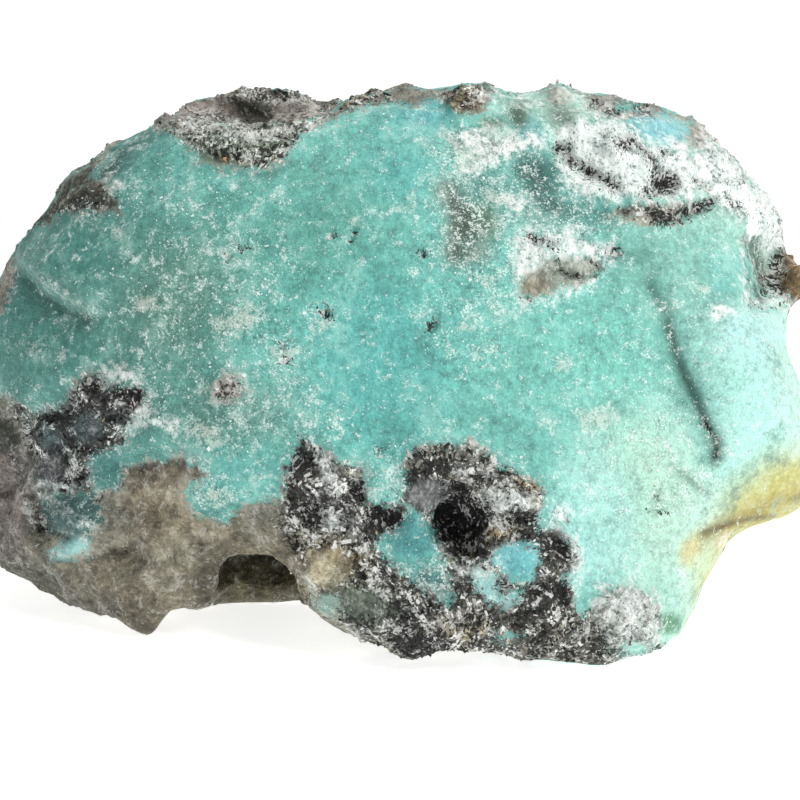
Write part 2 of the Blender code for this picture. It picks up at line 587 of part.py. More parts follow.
def ledge(across, up, path, reach, height):
    """A step along a path: raised on its left, sunk on its right, fading away from it."""
    away, run, along = distance_to_path(across, up, path)
    start = path[run]
    way = path[run + 1] - start
    side = way[:, 0] * (up - start[:, 1]) - way[:, 1] * (across - start[:, 0])
    signed = np.sign(side) * smooth_step(0.0, LEDGE_STEP_WIDTH, away)
    from_end = np.minimum(run + along, len(path) - 1 - run - along)
    return 0.5 * height * signed * np.exp(-away / reach) * smooth_step(0.0, LEDGE_RUN_OUT, from_end)


def all_round_relief(stone):
    """Swells on the smooth face, and broken faces of several sizes everywhere else."""
    points, normals = skin_points(stone)
    _, _, _, line = sighted(points)
    turned_away = (normals * line).sum(axis=1)
    hidden = smooth_step(*FADE_IN, turned_away)
    seen = smooth_step(*SWELL_FADE_IN, -turned_away)
    rise = np.zeros(len(points))
    for size, height, seed in BACK_BLOCKS:
        rise += hidden * height * blocks(points, size, seed)
    size, height, seed = EDGE_BLOCKS
    rise += (1.0 - seen) * height * blocks(points, size, seed)
    swell = np.array([noise.noise(Vector(point) / FACE_SWELL) for point in points])
    rise += seen * FACE_SWELL_HEIGHT * swell
    above_ground = smooth_step(*GROUND_FADE, points[:, 2])
    move_skin(stone, points + normals * (rise * above_ground)[:, None])


def cut_feet(stone):
    """Takes off what reaches below the ground, so that the feet are flat."""
    shape = bmesh.new()
    shape.from_mesh(stone.data)
    for vert in shape.verts:
        if abs(vert.co.z) < GROUND_SNAP * MM:
            vert.co.z = 0.0
    everything = list(shape.verts) + list(shape.edges) + list(shape.faces)
    bmesh.ops.bisect_plane(
        shape, geom=everything, dist=CUT_TOLERANCE * MM, plane_co=(0.0, 0.0, 0.0),
        plane_no=(0.0, 0.0, 1.0), clear_inner=True,
    )
    rims = [edge for edge in shape.edges if edge.is_boundary]
    bmesh.ops.triangle_fill(
        shape, use_beauty=True, use_dissolve=False, edges=rims, normal=(0.0, 0.0, -1.0),
    )
    bmesh.ops.triangulate(shape, faces=[face for face in shape.faces if len(face.verts) > 3])
    bmesh.ops.recalc_face_normals(shape, faces=shape.faces)
    shape.to_mesh(stone.data)
    shape.free()


def centre_on_ground(stone):
    """Moves the stone so that its origin is under the middle of its box."""
    points, _ = skin_points(stone)
    middle = 0.5 * (points.min(axis=0) + points.max(axis=0))
    middle[2] = points[:, 2].min()
    move_skin(stone, points - middle)
    return middle


def turquoise():
    material = bpy.data.materials.new("turquoise")
    material.use_nodes = True
    surface = material.node_tree.nodes["Principled BSDF"]
    surface.inputs["Base Color"].default_value = (0.17, 0.54, 0.48, 1.0)
    surface.inputs["Roughness"].default_value = 0.6
    surface.inputs["Metallic"].default_value = 0.0
    return material


def build_stone():
    """Makes the stone, and says where its middle was before it was moved to the origin."""
    mesh = bpy.data.meshes.new(NODE)
    block = rough_block()
    block.to_mesh(mesh)
    block.free()
    stone = bpy.data.objects.new(NODE, mesh)
    bpy.context.scene.collection.objects.link(stone)
    even_skin(stone, SKIN_SIZE)
    for centre, radii in SCOOPS:
        scoop_out(stone, centre, radii)
    even_skin(stone, SKIN_SIZE)
    all_round_relief(stone)
    front_relief(stone)
    even_skin(stone, SKIN_SIZE)
    thin_out(stone, FINISHED_TRIANGLES)
    cut_feet(stone)
    middle = centre_on_ground(stone)
    stone.data.materials.append(turquoise())
    return stone, middle


for thing in list(bpy.data.objects):
    bpy.data.objects.remove(thing)
STONE, MIDDLE = build_stone()
print(STONE.name, "was sighted with its middle at", MIDDLE.round(3), "mm")
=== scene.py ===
import math

import bmesh
import bpy
import numpy as np
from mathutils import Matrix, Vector, noise


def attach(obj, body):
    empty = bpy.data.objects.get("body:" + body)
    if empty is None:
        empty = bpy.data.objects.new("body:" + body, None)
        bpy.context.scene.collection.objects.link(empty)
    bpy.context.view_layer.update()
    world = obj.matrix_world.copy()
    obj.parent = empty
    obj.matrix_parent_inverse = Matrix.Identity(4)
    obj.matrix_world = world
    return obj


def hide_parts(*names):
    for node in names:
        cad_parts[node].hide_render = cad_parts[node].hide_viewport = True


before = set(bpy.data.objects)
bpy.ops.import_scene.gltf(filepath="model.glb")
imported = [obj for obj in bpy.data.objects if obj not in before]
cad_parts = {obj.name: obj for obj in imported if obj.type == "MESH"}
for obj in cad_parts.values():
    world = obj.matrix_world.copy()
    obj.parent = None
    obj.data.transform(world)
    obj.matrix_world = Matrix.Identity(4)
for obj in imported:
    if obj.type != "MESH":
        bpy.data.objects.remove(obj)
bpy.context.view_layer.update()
MM = 0.001

# The camera, where the eye stood when the stone's front was sighted. The sighting plane
# stands in front of it, and places on the front are given in millimetres on that plane.
EYE_DISTANCE = 111.1
EYE_TILT = math.radians(10.0)
SIGHT_CENTRE = np.array([1.764, -20.170, 27.3])
AHEAD = np.array([0.0, math.cos(EYE_TILT), -math.sin(EYE_TILT)])
ABOVE = np.array([0.0, math.sin(EYE_TILT), math.cos(EYE_TILT)])
EYE = SIGHT_CENTRE - EYE_DISTANCE * AHEAD
SIGHTED_WIDTH = 80.0
SENSOR = 36.0

camera = bpy.data.objects.new("camera", bpy.data.cameras.new("camera"))
bpy.context.scene.collection.objects.link(camera)
camera.data.sensor_width = SENSOR
camera.data.lens = SENSOR * EYE_DISTANCE / SIGHTED_WIDTH
camera.data.clip_start = 10 * MM
camera.location = EYE * MM
camera.rotation_euler = (0.5 * math.pi - EYE_TILT, 0.0, 0.0)
bpy.context.scene.camera = camera


# The table, the white room and the lights: a broad soft light from the upper right and a
# weaker one above the left, so that the stone's left end stays in half shade.
WHITE = (0.96, 0.96, 0.955, 1.0)


def soft_light(name, place, aim, size, power, tone=(1.0, 1.0, 1.0)):
    """A square soft box at a place in millimetres, turned towards another."""
    lamp = bpy.data.lights.new(name, "AREA")
    lamp.size = size * MM
    lamp.energy = power
    lamp.color = tone
    box = bpy.data.objects.new(name, lamp)
    box.location = Vector(place) * MM
    box.rotation_euler = (Vector(aim) - Vector(place)).to_track_quat("-Z", "Y").to_euler()
    bpy.context.scene.collection.objects.link(box)


def white_table():
    shape = bmesh.new()
    bmesh.ops.create_grid(shape, x_segments=1, y_segments=1, size=4.0)
    mesh = bpy.data.meshes.new("table_top")
    shape.to_mesh(mesh)
    shape.free()
    table = bpy.data.objects.new("table_top", mesh)
    paper = bpy.data.materials.new("white_paper")
    paper.use_nodes = True
    surface = paper.node_tree.nodes["Principled BSDF"]
    surface.inputs["Base Color"].default_value = WHITE
    surface.inputs["Roughness"].default_value = 0.9
    surface.inputs["Emission Color"].default_value = WHITE
    surface.inputs["Emission Strength"].default_value = 0.8
    mesh.materials.append(paper)
    bpy.context.scene.collection.objects.link(table)


white_table()
soft_light("key_light", place=(260.0, -170.0, 330.0), aim=(10.0, 0.0, 25.0), size=160.0, power=1.25,
           tone=(1.0, 0.99, 0.97))
soft_light("top_light", place=(-60.0, 60.0, 380.0), aim=(0.0, 0.0, 30.0), size=260.0, power=0.4)
room = bpy.data.worlds.new("white_room")
room.use_nodes = True
room_light = room.node_tree.nodes["Background"]
room_light.inputs["Color"].default_value = (1.0, 1.0, 1.0, 1.0)
seen_directly = room.node_tree.nodes.new("ShaderNodeLightPath")
wall_glow = room.node_tree.nodes.new("ShaderNodeMapRange")
wall_glow.inputs["To Min"].default_value = 0.24
wall_glow.inputs["To Max"].default_value = 1.05
room.node_tree.links.new(seen_directly.outputs["Is Camera Ray"], wall_glow.inputs["Value"])
room.node_tree.links.new(wall_glow.outputs["Result"], room_light.inputs["Strength"])
bpy.context.scene.world = room
bpy.context.scene.view_settings.view_transform = "Standard"


# The stone: compact turquoise, with the rock it grew in left on it as a brown-grey crust and
# as dark, flaky matrix, and a white frosting of fine quartz on its upper right.
STONE_NODE = "turquoise_stone"
WELD = 0.001
SKIN_SIZE = 0.3
SMOOTHING_ROUNDS = 14
SKIN_TRIANGLES = 192000


def smooth_step(low, high, value):
    part = np.clip((value - low) / (high - low), 0.0, 1.0)
    return part * part * (3.0 - 2.0 * part)


def sighted(points):
    """Where points appear on the sighting plane, and the eye's line to each."""
    line = points - EYE
    spread = line @ AHEAD / EYE_DISTANCE
    across = line[:, 0] / spread
    up = line @ ABOVE / spread
    return across, up, line / np.linalg.norm(line, axis=1, keepdims=True)


def oval(middle_across, middle_up, wide, high, turn=0.0):
    """A patch on the front, by its middle, its two radii and its turn in degrees.

    Like the other shapes it tells how deep inside it a sighted place lies, in millimetres.
    """
    lean = math.radians(turn)

    def depth(across, up):
        x = across - middle_across
        y = up - middle_up
        along = (x * math.cos(lean) + y * math.sin(lean)) / wide
        aside = (y * math.cos(lean) - x * math.sin(lean)) / high
        return (1.0 - np.hypot(along, aside)) * min(wide, high)

    return depth


def away_from(across, up, starts, ends):
    """Distance of sighted places from the nearest of some straight runs."""
    nearest = np.full(len(across), np.inf)
    for (x0, y0), (x1, y1) in zip(starts, ends):
        x = across - x0
        y = up - y0
        along = np.clip((x * (x1 - x0) + y * (y1 - y0)) / ((x1 - x0) ** 2 + (y1 - y0) ** 2), 0.0, 1.0)
        nearest = np.minimum(nearest, np.hypot(x - along * (x1 - x0), y - along * (y1 - y0)))
    return nearest


def strip(width, *path):
    """A line of some width along a path on the front."""
    path = np.array(path, dtype=float)
    return lambda across, up: 0.5 * width - away_from(across, up, path[:-1], path[1:])


def area(*corners):
    """An area within corners on the front."""
    corners = np.array(corners, dtype=float)
    following = np.roll(corners, -1, axis=0)

    def depth(across, up):
        inside = np.zeros(len(across), dtype=bool)
        for (x0, y0), (x1, y1) in zip(corners, following):
            if y0 != y1:
                crosses = (y0 > up) != (y1 > up)
                inside ^= crosses & (across < x0 + (up - y0) * (x1 - x0) / (y1 - y0))
        away = away_from(across, up, corners, following)
        return np.where(inside, away, -away)

    return depth


FAR_OUTSIDE = -50.0


def deepest(shapes, across, up):
    """How deep a place lies inside whichever of the shapes holds it best."""
    depth = np.full(len(across), FAR_OUTSIDE)
    for shape in shapes:
        depth = np.maximum(depth, shape(across, up))
    return depth


# Rock on the front: the ridge, the crest behind it, the right shoulder, the lower left with
# the underside and the dark cluster at the foot, and stains of it in the upper face.
ROCK = (
    area((-36.6, 17.6), (-36, 19.8), (-34.8, 21.2), (-32.6, 23.8), (-29.4, 25.8), (-25.2, 28.2),
         (-23.5, 29.6), (-17.2, 32.4), (-6.5, 31.2), (-5.5, 28.8), (-7, 27.8), (-8.9, 27.1), (-10, 26.2),
         (-10.7, 25.2), (-11.5, 24), (-12.8, 23.4), (-14.4, 23), (-16.2, 23), (-18, 23.4), (-19.6, 23.8),
         (-20.8, 25), (-22.2, 26.2), (-24.4, 27.2), (-26.8, 26.4), (-28.6, 25), (-30.2, 23.6), (-30.8, 22.4),
         (-29.4, 21.6), (-28.2, 20.2), (-28, 18.8), (-30, 18.6), (-31.2, 19), (-32.6, 18.8), (-34, 18.4),
         (-35.2, 17.8)),
    area((-6.9, 31.2), (0.4, 32.4), (4, 32.2), (4.1, 30.8), (3.6, 30.2), (2, 29.6), (0.4, 29.2),
         (-0.8, 29.7), (-2.4, 29.6), (-4, 29.2), (-5.5, 28.6), (-6.8, 28.6)),
    area((4, 30.4), (4.6, 32), (8, 32.8), (9.2, 31.2), (9, 29.6), (7.8, 28.6), (6.2, 28.4), (4.8, 28.8)),
    oval(15.8, 30.8, 1.5, 1.5),
    area((18.3, 31.4), (24.1, 30.8), (26.8, 30.4), (28.4, 29.4), (31.2, 28), (32.2, 26.6), (34.4, 24.8),
         (35.2, 22.8), (37.4, 21.2), (39.4, 18.2), (39.6, 15.4), (38.6, 14.8), (37.9, 16), (37.2, 17.8),
         (36.4, 19.2), (35.2, 20.4), (34, 22.2), (32.8, 24), (31.6, 24.8), (30, 25), (28.8, 25.4),
         (29, 27.6), (27.8, 28.2), (26, 28.4), (22.2, 28.2), (20.6, 28.4), (19.8, 29.2), (18.8, 29.6)),
    area((-41, 13.8), (-39.2, 14.9), (-38.3, 13.8), (-38.5, 11.4), (-39, 10.2), (-39.6, 8.8), (-41, 8)),
    # the left end's lower half, the underside and the cluster, round the turquoise between them
    area((-46, 1.6), (-40, 0.6), (-38.8, 0.4), (-37.4, -0.4), (-37, -1.4), (-34.2, -1), (-33.4, -0.2),
         (-32.4, 2), (-31.2, 3), (-30.4, 2.8), (-29.6, 1.6), (-26.2, 1.6), (-25.2, 0.8), (-25.4, -0.4),
         (-26.2, -1.4), (-27.6, -3), (-27.4, -4.2), (-29.2, -5), (-30.8, -5.2), (-31.4, -7.4), (-30.4, -9.4),
         (-28.2, -9), (-27.6, -6.8), (-25, -6), (-21.6, -5.8), (-19.4, -7.4), (-19.6, -8), (-21, -8.4),
         (-21.6, -9.4), (-21.2, -10.6), (-20, -11.6), (-18.6, -12.2), (-17.4, -12.2), (-16.4, -10.8),
         (-14.8, -10.2), (-12, -9.6), (-11.2, -6.6), (-9.6, -3.7), (-8.6, -4.4), (-7, -5.2), (-5.4, -6.4),
         (-3.8, -6.8), (-3.5, -10), (-2.8, -10.6), (-1, -10.4), (0.4, -10.6), (0.7, -11.4), (0.2, -12.4),
         (-1.8, -13.6), (-2.4, -14.6), (-1.6, -15.8), (-0.4, -16.8), (0.8, -17.8), (2.4, -18.8),
         (3.8, -19.9), (4.8, -20.4), (5.2, -19.4), (5, -18), (4.4, -16.6), (3.6, -14.5), (3.2, -13),
         (2, -11.2), (1, -10.8), (0.4, -10), (0.5, -8.4), (0.2, -7), (0.6, -5.6), (1.6, -4.6), (3.2, -4.2),
         (6.2, -4.6), (7, -4), (7.8, -4.6), (10.8, -6.6), (12.4, -7.4), (14, -8.4), (14.7, -9.4),
         (14.6, -10.4), (14, -11.2), (14, -12.8), (16, -13), (17.2, -14), (18, -15.6), (17.8, -16.8),
         (16.6, -17.6), (17.2, -19), (17.4, -20.6), (18, -21.4), (19.4, -20.8), (19.8, -19.6), (20.6, -18.8),
         (22, -18.6), (23.6, -18.8), (25, -19.4), (26, -20.4), (26, -22.2), (25.6, -24), (29, -26),
         (20, -32), (-40, -32), (-46, -24)),
    area((14, 13.8), (14.8, 14.4), (16.5, 14.2), (19, 14.4), (20.3, 13.6), (20, 12.6), (18.5, 11.6),
         (16, 11.2), (14.8, 10.4), (13.2, 10.2), (12, 10.6), (11.8, 11.6), (12.4, 12.6), (13.6, 13)),
    area((22, 19.4), (24, 19.8), (26.8, 19.6), (29, 20), (31.8, 20.4), (30.6, 19.2), (29, 18.2),
         (26.4, 17.4), (24, 17.6), (22.2, 18), (21, 18.6)),
    oval(-17.2, 1, 1.6, 1.4),
    # the recess past the sharp edge on the right, and the knob in it
    area((36.2, 12.6), (36.8, 13.8), (37.9, 15), (42, 15.2), (42, 7), (39.6, 9.2), (38.6, 10), (37.2, 11.2)),
    area((37.9, 15.8), (38.3, 16.6), (39.4, 16.4), (39.2, 15.2)),
)

# Turquoise that shows through the rock
WINDOWS = (
    area((9.3, -16), (9.6, -14.8), (10.8, -14.3), (12.4, -14.3), (13.6, -14.8), (14.1, -16), (13.6, -17.2),
         (12.8, -18.2), (11.2, -18.2), (10, -17.4)),
    strip(1, (7.8, -17.2), (8.4, -18.8), (9.6, -20), (10.8, -20.5), (11.4, -19.6)), oval(9.2, -18, 0.8, 1),
    area((-35.8, -10), (-34, -9.2), (-31.5, -9.4), (-30.2, -10.5), (-30, -12), (-31, -13.2), (-34, -13.6),
         (-35.2, -13)),
    oval(-32.7, -14.8, 2.1, 1, 12), oval(-7.2, -20.6, 1.1, 1),
    area((24, 27.8), (25.5, 28.6), (27.2, 28.4), (28.7, 27.4), (28.6, 26.4), (26.8, 26), (25, 26.4)),
    oval(22.4, 29.2, 0.9, 0.5), oval(10.8, -23.7, 0.7, 0.4), oval(27, -22.4, 1, 1),
    oval(23.7, -25, 1.5, 0.7),
)

# White frosting over turquoise and rock
FROST = (
    area((15.6, 27.2), (18, 28.8), (20, 28.2), (22.2, 28), (24, 27.2), (25.2, 26), (27.6, 25.8), (29, 25),
         (30.4, 26.4), (32.6, 26), (34.6, 26), (38, 22), (42, 16), (38, 14.6), (36.6, 14.4), (35.4, 15.6),
         (34.4, 16.8), (32.8, 18.6), (31.6, 19.6), (30, 20.2), (26.8, 19.8), (24, 20), (21.8, 19.6),
         (19.6, 20.4), (17.2, 20.8), (16.2, 22), (15.2, 23.6), (15.6, 25)),
    area((11.5, 16), (13, 17.2), (16, 17), (19, 16.4), (21.2, 15.6), (22.2, 14.2), (20.6, 13.4),
         (19.6, 14.2), (17.5, 14.4), (15.2, 14.6), (14.5, 13.8), (13.6, 13.2), (12.6, 12.8), (11.8, 13.2)),
    strip(0.5, (11.8, 13), (11.7, 11), (12.6, 9.9), (14.8, 10), (18, 11.2), (20.4, 12.8)),
    area((4.6, 26.8), (7, 27.2), (10.6, 26.4), (13.4, 26.8), (14.6, 25.6), (11.8, 25), (10, 24), (7.8, 22.4),
         (6.6, 22.8), (8.2, 24.8), (5.4, 24.6)),
    strip(0.5, (8.4, 30.6), (11.4, 30), (14, 29.6)), strip(0.5, (17.8, 31), (18.6, 29.4), (17.8, 27.6)),
    strip(0.4, (-22.6, 27.5), (-19.6, 28), (-16.2, 26.8), (-13.6, 26.5), (-10.4, 27.5), (-8, 28.4)),
    strip(0.35, (-28.6, 21.8), (-26.8, 21.2)),
    area((20.2, -18.9), (22.4, -18.4), (24.4, -18.8), (25.9, -20.6), (25.6, -23.6), (22.4, -24.6),
         (20.6, -22.8)),
    oval(18.5, 16.8, 0.8, 0.5), oval(11.4, 19.6, 1, 0.7),
    area((8.3, -9), (9.5, -8.6), (11.5, -9.2), (13.4, -9.6), (13.9, -10.4), (11.8, -11), (10.6, -11.6),
         (9.2, -12.4), (8.6, -11.2)),
    oval(16, -11.4, 1.4, 1, -30), strip(0.5, (5.4, -7), (8, -7.4), (10.4, -8.6)),
    strip(0.6, (20.2, -18.8), (19.8, -20.6), (18.6, -22.2), (17.6, -23.4)),
    strip(0.6, (20.2, -21.4), (20.9, -24)), oval(-27.8, 2.3, 1.7, 0.8, -20),
    oval(-24.9, -1.9, 1.5, 0.7, -12), oval(-23, -2.6, 0.8, 0.5),
    strip(0.3, (33.9, 16), (34.3, 15), (34.5, 12.6), (34.9, 10)),
    strip(0.7, (34.9, 9.9), (37, 9.9), (39, 9.4)), oval(32.2, 9, 1, 0.8),
    strip(0.8, (-8.6, -4.8), (-7.4, -7.4), (-6.4, -9.6)), oval(-6.8, -12, 1.5, 0.8, -20),
    strip(0.8, (4.8, -15.8), (6, -17), (8, -17.2), (9.2, -15.8)),
    strip(0.35, (-36, -8.2), (-33, -8.6), (-31.4, -8.2)), strip(0.35, (-33, -5.6), (-32.2, -7)),
    strip(0.4, (-38.8, -5.4), (-37.8, -9), (-36.8, -12.4)),
    strip(0.4, (-35.6, -9.6), (-33.4, -11.6), (-30.6, -12.8)),
    strip(0.4, (17, -13.6), (18.1, -15.4), (17.6, -17.2), (16.6, -17.8)),
)

# Black crystals, and black painted as shade in the deep pockets: the pits of the cluster, the wall of the
# recess on the right and the underside of the ledge at the upper right
DARK = (
    oval(16.3, 25.1, 1, 0.7), strip(1.1, (16.6, 24), (18.6, 23), (20.4, 22), (21.6, 21.2)),
    oval(22.8, 25.6, 1.5, 0.9, -10), strip(0.7, (24, 25.4), (25.2, 24), (25.6, 22.8)),
    oval(26.4, 24.7, 0.6, 0.3), oval(26.4, 21.8, 1.6, 1.3, -30), oval(24.9, 20.7, 0.9, 0.5, 20),
    strip(0.5, (29.4, 22), (30.8, 21.2)), strip(0.5, (32.6, 20.4), (34, 18.8)),
    # painted shade: black along the shaded underside of the ledge at the upper right
    strip(1.1, (26, 17.8), (28.6, 18.8), (31, 19.8)), oval(19.5, 29.5, 0.6, 0.4), oval(21.2, 28.8, 0.9, 0.5),
    oval(24.3, 29, 1, 0.5, -15), oval(14, 15.9, 1.3, 0.5, -18), oval(21.3, 14.8, 0.7, 0.7),
    oval(-30.6, 1.6, 1.1, 1), oval(-27.2, 0.4, 1.5, 0.9), oval(-34.6, -1.8, 1.2, 0.6),
    strip(0.7, (-37.2, -2.4), (-36.8, -5)), oval(-33, -4, 0.5, 1.1, 20), oval(-31, -5, 1.2, 0.4),
    oval(-35.8, -12.6, 0.5, 1.1, 10), oval(-32, -7.5, 0.8, 0.6), oval(-30.4, -9.6, 0.6, 0.4),
    oval(-10.3, -6, 0.7, 1.6, -15), oval(-8.8, -11.4, 1.6, 1.2, -20),
    area((-4.9, -8), (-3.6, -8), (-3.5, -10.2), (-5, -9.6)),
    oval(-1.6, -11.7, 1.9, 1.1, -4),
    # painted shade: black in the pit beside the knob of the cluster
    area((4, -10), (5.2, -8.4), (6.2, -8), (7, -9.2), (8.4, -10), (9.2, -11.4), (8.6, -12.6), (7.8, -14),
         (7.8, -15.6), (6.6, -15.6), (5.2, -14.5), (4, -13.6), (3.2, -12)),
    oval(12.7, -11.7, 1.3, 0.8, -8), oval(10.6, -12.3, 0.7, 0.6), oval(15.9, -15, 0.9, 1.2, 10),
    oval(13.8, -19, 1.1, 0.9), oval(16, -19.2, 0.8, 1.1), oval(10.6, -18.8, 0.7, 0.4),
    # painted shade: black in the hollow at the cluster's foot
    area((-1.5, -23), (0, -22.2), (2.5, -22.4), (3.7, -23.6), (3, -24.8), (0.8, -25.8), (-0.4, -25)),
    oval(1.8, -5.5, 0.9, 0.6),
    # painted shade: black on the shaded wall inside the recess on the right
    area((36.1, 12.4), (37.3, 14.8), (38.4, 15), (38.5, 12.4), (38.2, 10.4), (37, 10.6)),
    oval(36.5, 10.8, 0.5, 0.35, -40), strip(0.3, (35, 9.4), (36.2, 9.1), (37.4, 9.3), (38.4, 9.6)),
    strip(0.2, (15.6, 13.9), (16.4, 12.6), (18.2, 12.3), (19.6, 12.4), (20.1, 13.2), (18.6, 14.1)),
    strip(0.3, (30.4, -2), (31.2, -3.2), (31.8, -4.6), (31.5, -5.8)),
    # specks strewn on the turquoise
    oval(3.3, 7.5, 0.4, 0.65, -30), oval(2.3, 14.6, 0.35, 0.35), oval(-6.8, 16.5, 0.35, 0.35),
    strip(0.4, (-4.6, 16.8), (-4.9, 15.9)), oval(-16, 15.3, 0.45, 0.25), oval(-7.4, 8.6, 0.6, 0.4, -30),
    oval(-11.8, 5.2, 0.35, 0.35), oval(-11.4, 4, 0.4, 0.3), oval(-2, -4.9, 0.55, 0.3, 30),
    oval(25.6, -9.8, 0.3, 0.55), strip(0.35, (25, -11.2), (26.4, -11.1)), oval(-17.3, 14.4, 0.35, 0.35),
    oval(12.6, 10.2, 0.35, 0.25),
)

# Dark green-grey dirt round the rock, and painted shade in the grooves, below the left step and under the
# crust's lower edge
DIRT_AND_SHADE = (
    strip(1.1, (24.8, 11.8), (26.2, 9), (27, 6.2), (28, 3.4), (29.2, 0.8), (30.4, -1.6), (31.6, -4.2),
         (31.6, -5.8)),
    oval(26.4, 9.2, 1.6, 1, -60), oval(31.4, -4, 0.9, 1.6), strip(0.5, (27, -6.6), (28.4, -7.8), (30, -9)),
    strip(0.9, (-37.4, 12.2), (-35.6, 10.4), (-33.6, 9.2), (-31.2, 8.1)),
    strip(0.4, (-30, 4.8), (-28.8, 3.8), (-27.8, 3.2)),
    area((12.4, 25), (14.6, 24.4), (15.2, 22.2), (16.6, 20), (18, 19.4), (17.6, 18.2), (14.6, 18.4),
         (12.6, 20.4), (10.6, 22.4), (11, 24)),
    area((19, 18), (20.4, 19.4), (22, 18.2), (21, 16.8)),
    area((4, 21.6), (5.2, 22.4), (6.8, 20.2), (8.6, 19.2), (10, 17.4), (8.8, 16), (7.4, 14), (5.4, 13),
         (4.2, 14.2), (4.8, 17.6)),
    area((10.6, 29.4), (12.4, 29.8), (12.8, 27.6), (11.6, 27), (10.8, 28)),
    area((14.6, 29.2), (16.4, 29.6), (17.8, 28.4), (16.8, 27), (15, 27.4)),
    area((8, 27.8), (10.4, 28.4), (10.2, 27.4), (8.6, 27)),
    oval(22, 14.4, 1, 1), oval(4.4, -18.4, 1.2, 1.9, 30), oval(2.2, -17.8, 1.4, 1.2),
    strip(2.2, (35.2, 16.4), (35.7, 12.6), (35.6, 10.4)),
    strip(0.8, (30.4, -13.4), (34.4, -11.6), (38, -10.2), (42, -9.2)),
    strip(1.8, (-25.4, 26.2), (-28, 24.4), (-29.4, 22.4)),
    strip(0.8, (-30.2, 19.8), (-28.6, 19), (-28, 17.2)),
    strip(0.9, (-20.6, 23.8), (-17, 22.6), (-13.2, 22.5), (-11, 23.6)),
    strip(0.7, (-26, -5.4), (-22, -5), (-19.4, -6.2)), oval(-34.6, 0.8, 0.5, 0.4),
    strip(0.8, (-1.8, -15.4), (0.6, -17.2), (3.4, -19.4)), oval(19.4, -22, 1.2, 0.8),
)

# Pale veils of clay and chalk on the turquoise
VEIL = (
    oval(-4.6, 18, 1, 0.6, -20), oval(-10.1, 14.7, 0.6, 0.4), oval(6.5, 7.4, 0.8, 0.5),
    oval(8.1, 5, 0.9, 0.6), oval(12.1, 4.8, 0.6, 0.9), oval(16.5, 3.4, 0.9, 0.7), oval(30.3, 11.1, 0.9, 0.5),
    oval(19.4, -1.9, 2, 1.4), oval(-25.2, 9.6, 1.6, 0.7), oval(-18.9, -9.4, 2.2, 1),
    oval(-19.4, -3.2, 2.2, 1, -20), oval(-17.2, 1.4, 2, 1.6), oval(-14.6, -7.8, 1.5, 0.6),
    oval(-31, 17.6, 1.8, 0.4, -20), oval(-28.4, 16.8, 0.5, 0.8),
    area((4.6, 26.2), (9, 28.2), (12.8, 26.8), (14.6, 25.4), (12, 24.6), (9, 23.2), (7, 22), (5.4, 23)),
    area((16.6, 28.6), (20.4, 29.6), (22, 28.6), (18, 27)),
    oval(10.2, 19.8, 2, 1, -20), oval(1, 19.6, 1.4, 0.6), oval(-16, 8, 2.6, 1.4, 30),
    oval(-11.6, 4.6, 1.6, 1), oval(-36.4, 4.9, 1.2, 0.5), oval(-33.4, 4.6, 0.9, 0.5), oval(8.4, 12, 1, 0.5),
    oval(-7.6, 7.6, 1.2, 0.7), oval(10.2, 8.4, 1, 0.6),
    strip(0.5, (-36.8, 13.4), (-35.4, 11.4), (-32.8, 10.2), (-30.8, 8.8)),
    strip(0.5, (27, -5.8), (28.8, -7.2), (31, -9.6)),
)


def skin_of(node, name):
    """A finer, softened skin over a CAD node's shape."""
    copy = bmesh.new()
    copy.from_mesh(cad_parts[node].data)
    bmesh.ops.remove_doubles(copy, verts=copy.verts, dist=WELD * MM)
    mesh = bpy.data.meshes.new(name)
    copy.to_mesh(mesh)
    copy.free()
    skin = bpy.data.objects.new(name, mesh)
    bpy.context.scene.collection.objects.link(skin)
    even = skin.modifiers.new("even", "REMESH")
    even.mode = "VOXEL"
    even.voxel_size = SKIN_SIZE * MM
    soften = skin.modifiers.new("soften", "SMOOTH")
    soften.factor = 0.5
    soften.iterations = SMOOTHING_ROUNDS
    keep_modified(skin)
    return skin


def keep_modified(piece):
    """Keeps the mesh that the modifiers make, and takes them off."""
    graph = bpy.context.evaluated_depsgraph_get()
    shaped = bpy.data.meshes.new_from_object(piece.evaluated_get(graph))
    piece.modifiers.clear()
    old = piece.data
    piece.data = shaped
    bpy.data.meshes.remove(old)
    shaped.name = piece.name


def points_of(mesh):
    """The mesh's points in millimetres, and the way the surface faces at each."""
    points = np.empty(len(mesh.vertices) * 3)
    mesh.vertices.foreach_get("co", points)
    normals = np.empty(len(mesh.vertices) * 3)
    mesh.vertices.foreach_get("normal", normals)
    return points.reshape(-1, 3) / MM, normals.reshape(-1, 3)


def put_points(mesh, points):
    """Moves the mesh's points, and lifts to the table's top any that would be below it."""
    points[:, 2] = np.maximum(points[:, 2], 0.0)
    mesh.vertices.foreach_set("co", (points * MM).ravel())
    mesh.update()


def cloud(points, size):
    """Soft fractal noise about nothing, for lumps of one size and smaller.

    What callers add to the points only keeps one cloud from looking like another.
    """
    return np.array([noise.fractal(Vector(point), 0.9, 2.1, 3) for point in points / size])


def blocks(points, size):
    """Blocky breaks: space is shared out in cells, and each cell's face leans its own way."""
    rise = np.empty(len(points))
    for index, point in enumerate(points / size):
        middle = noise.voronoi(point)[1][0]
        lean = noise.cell_vector(middle * 31.7)
        rise[index] = (Vector(point) - middle).dot(lean) - 0.5 * sum(Vector(point) - middle)
    return 2.0 * rise


# The depths are cut off here, in millimetres: further in or out makes no difference
DEPTH_LIMIT = 6.0


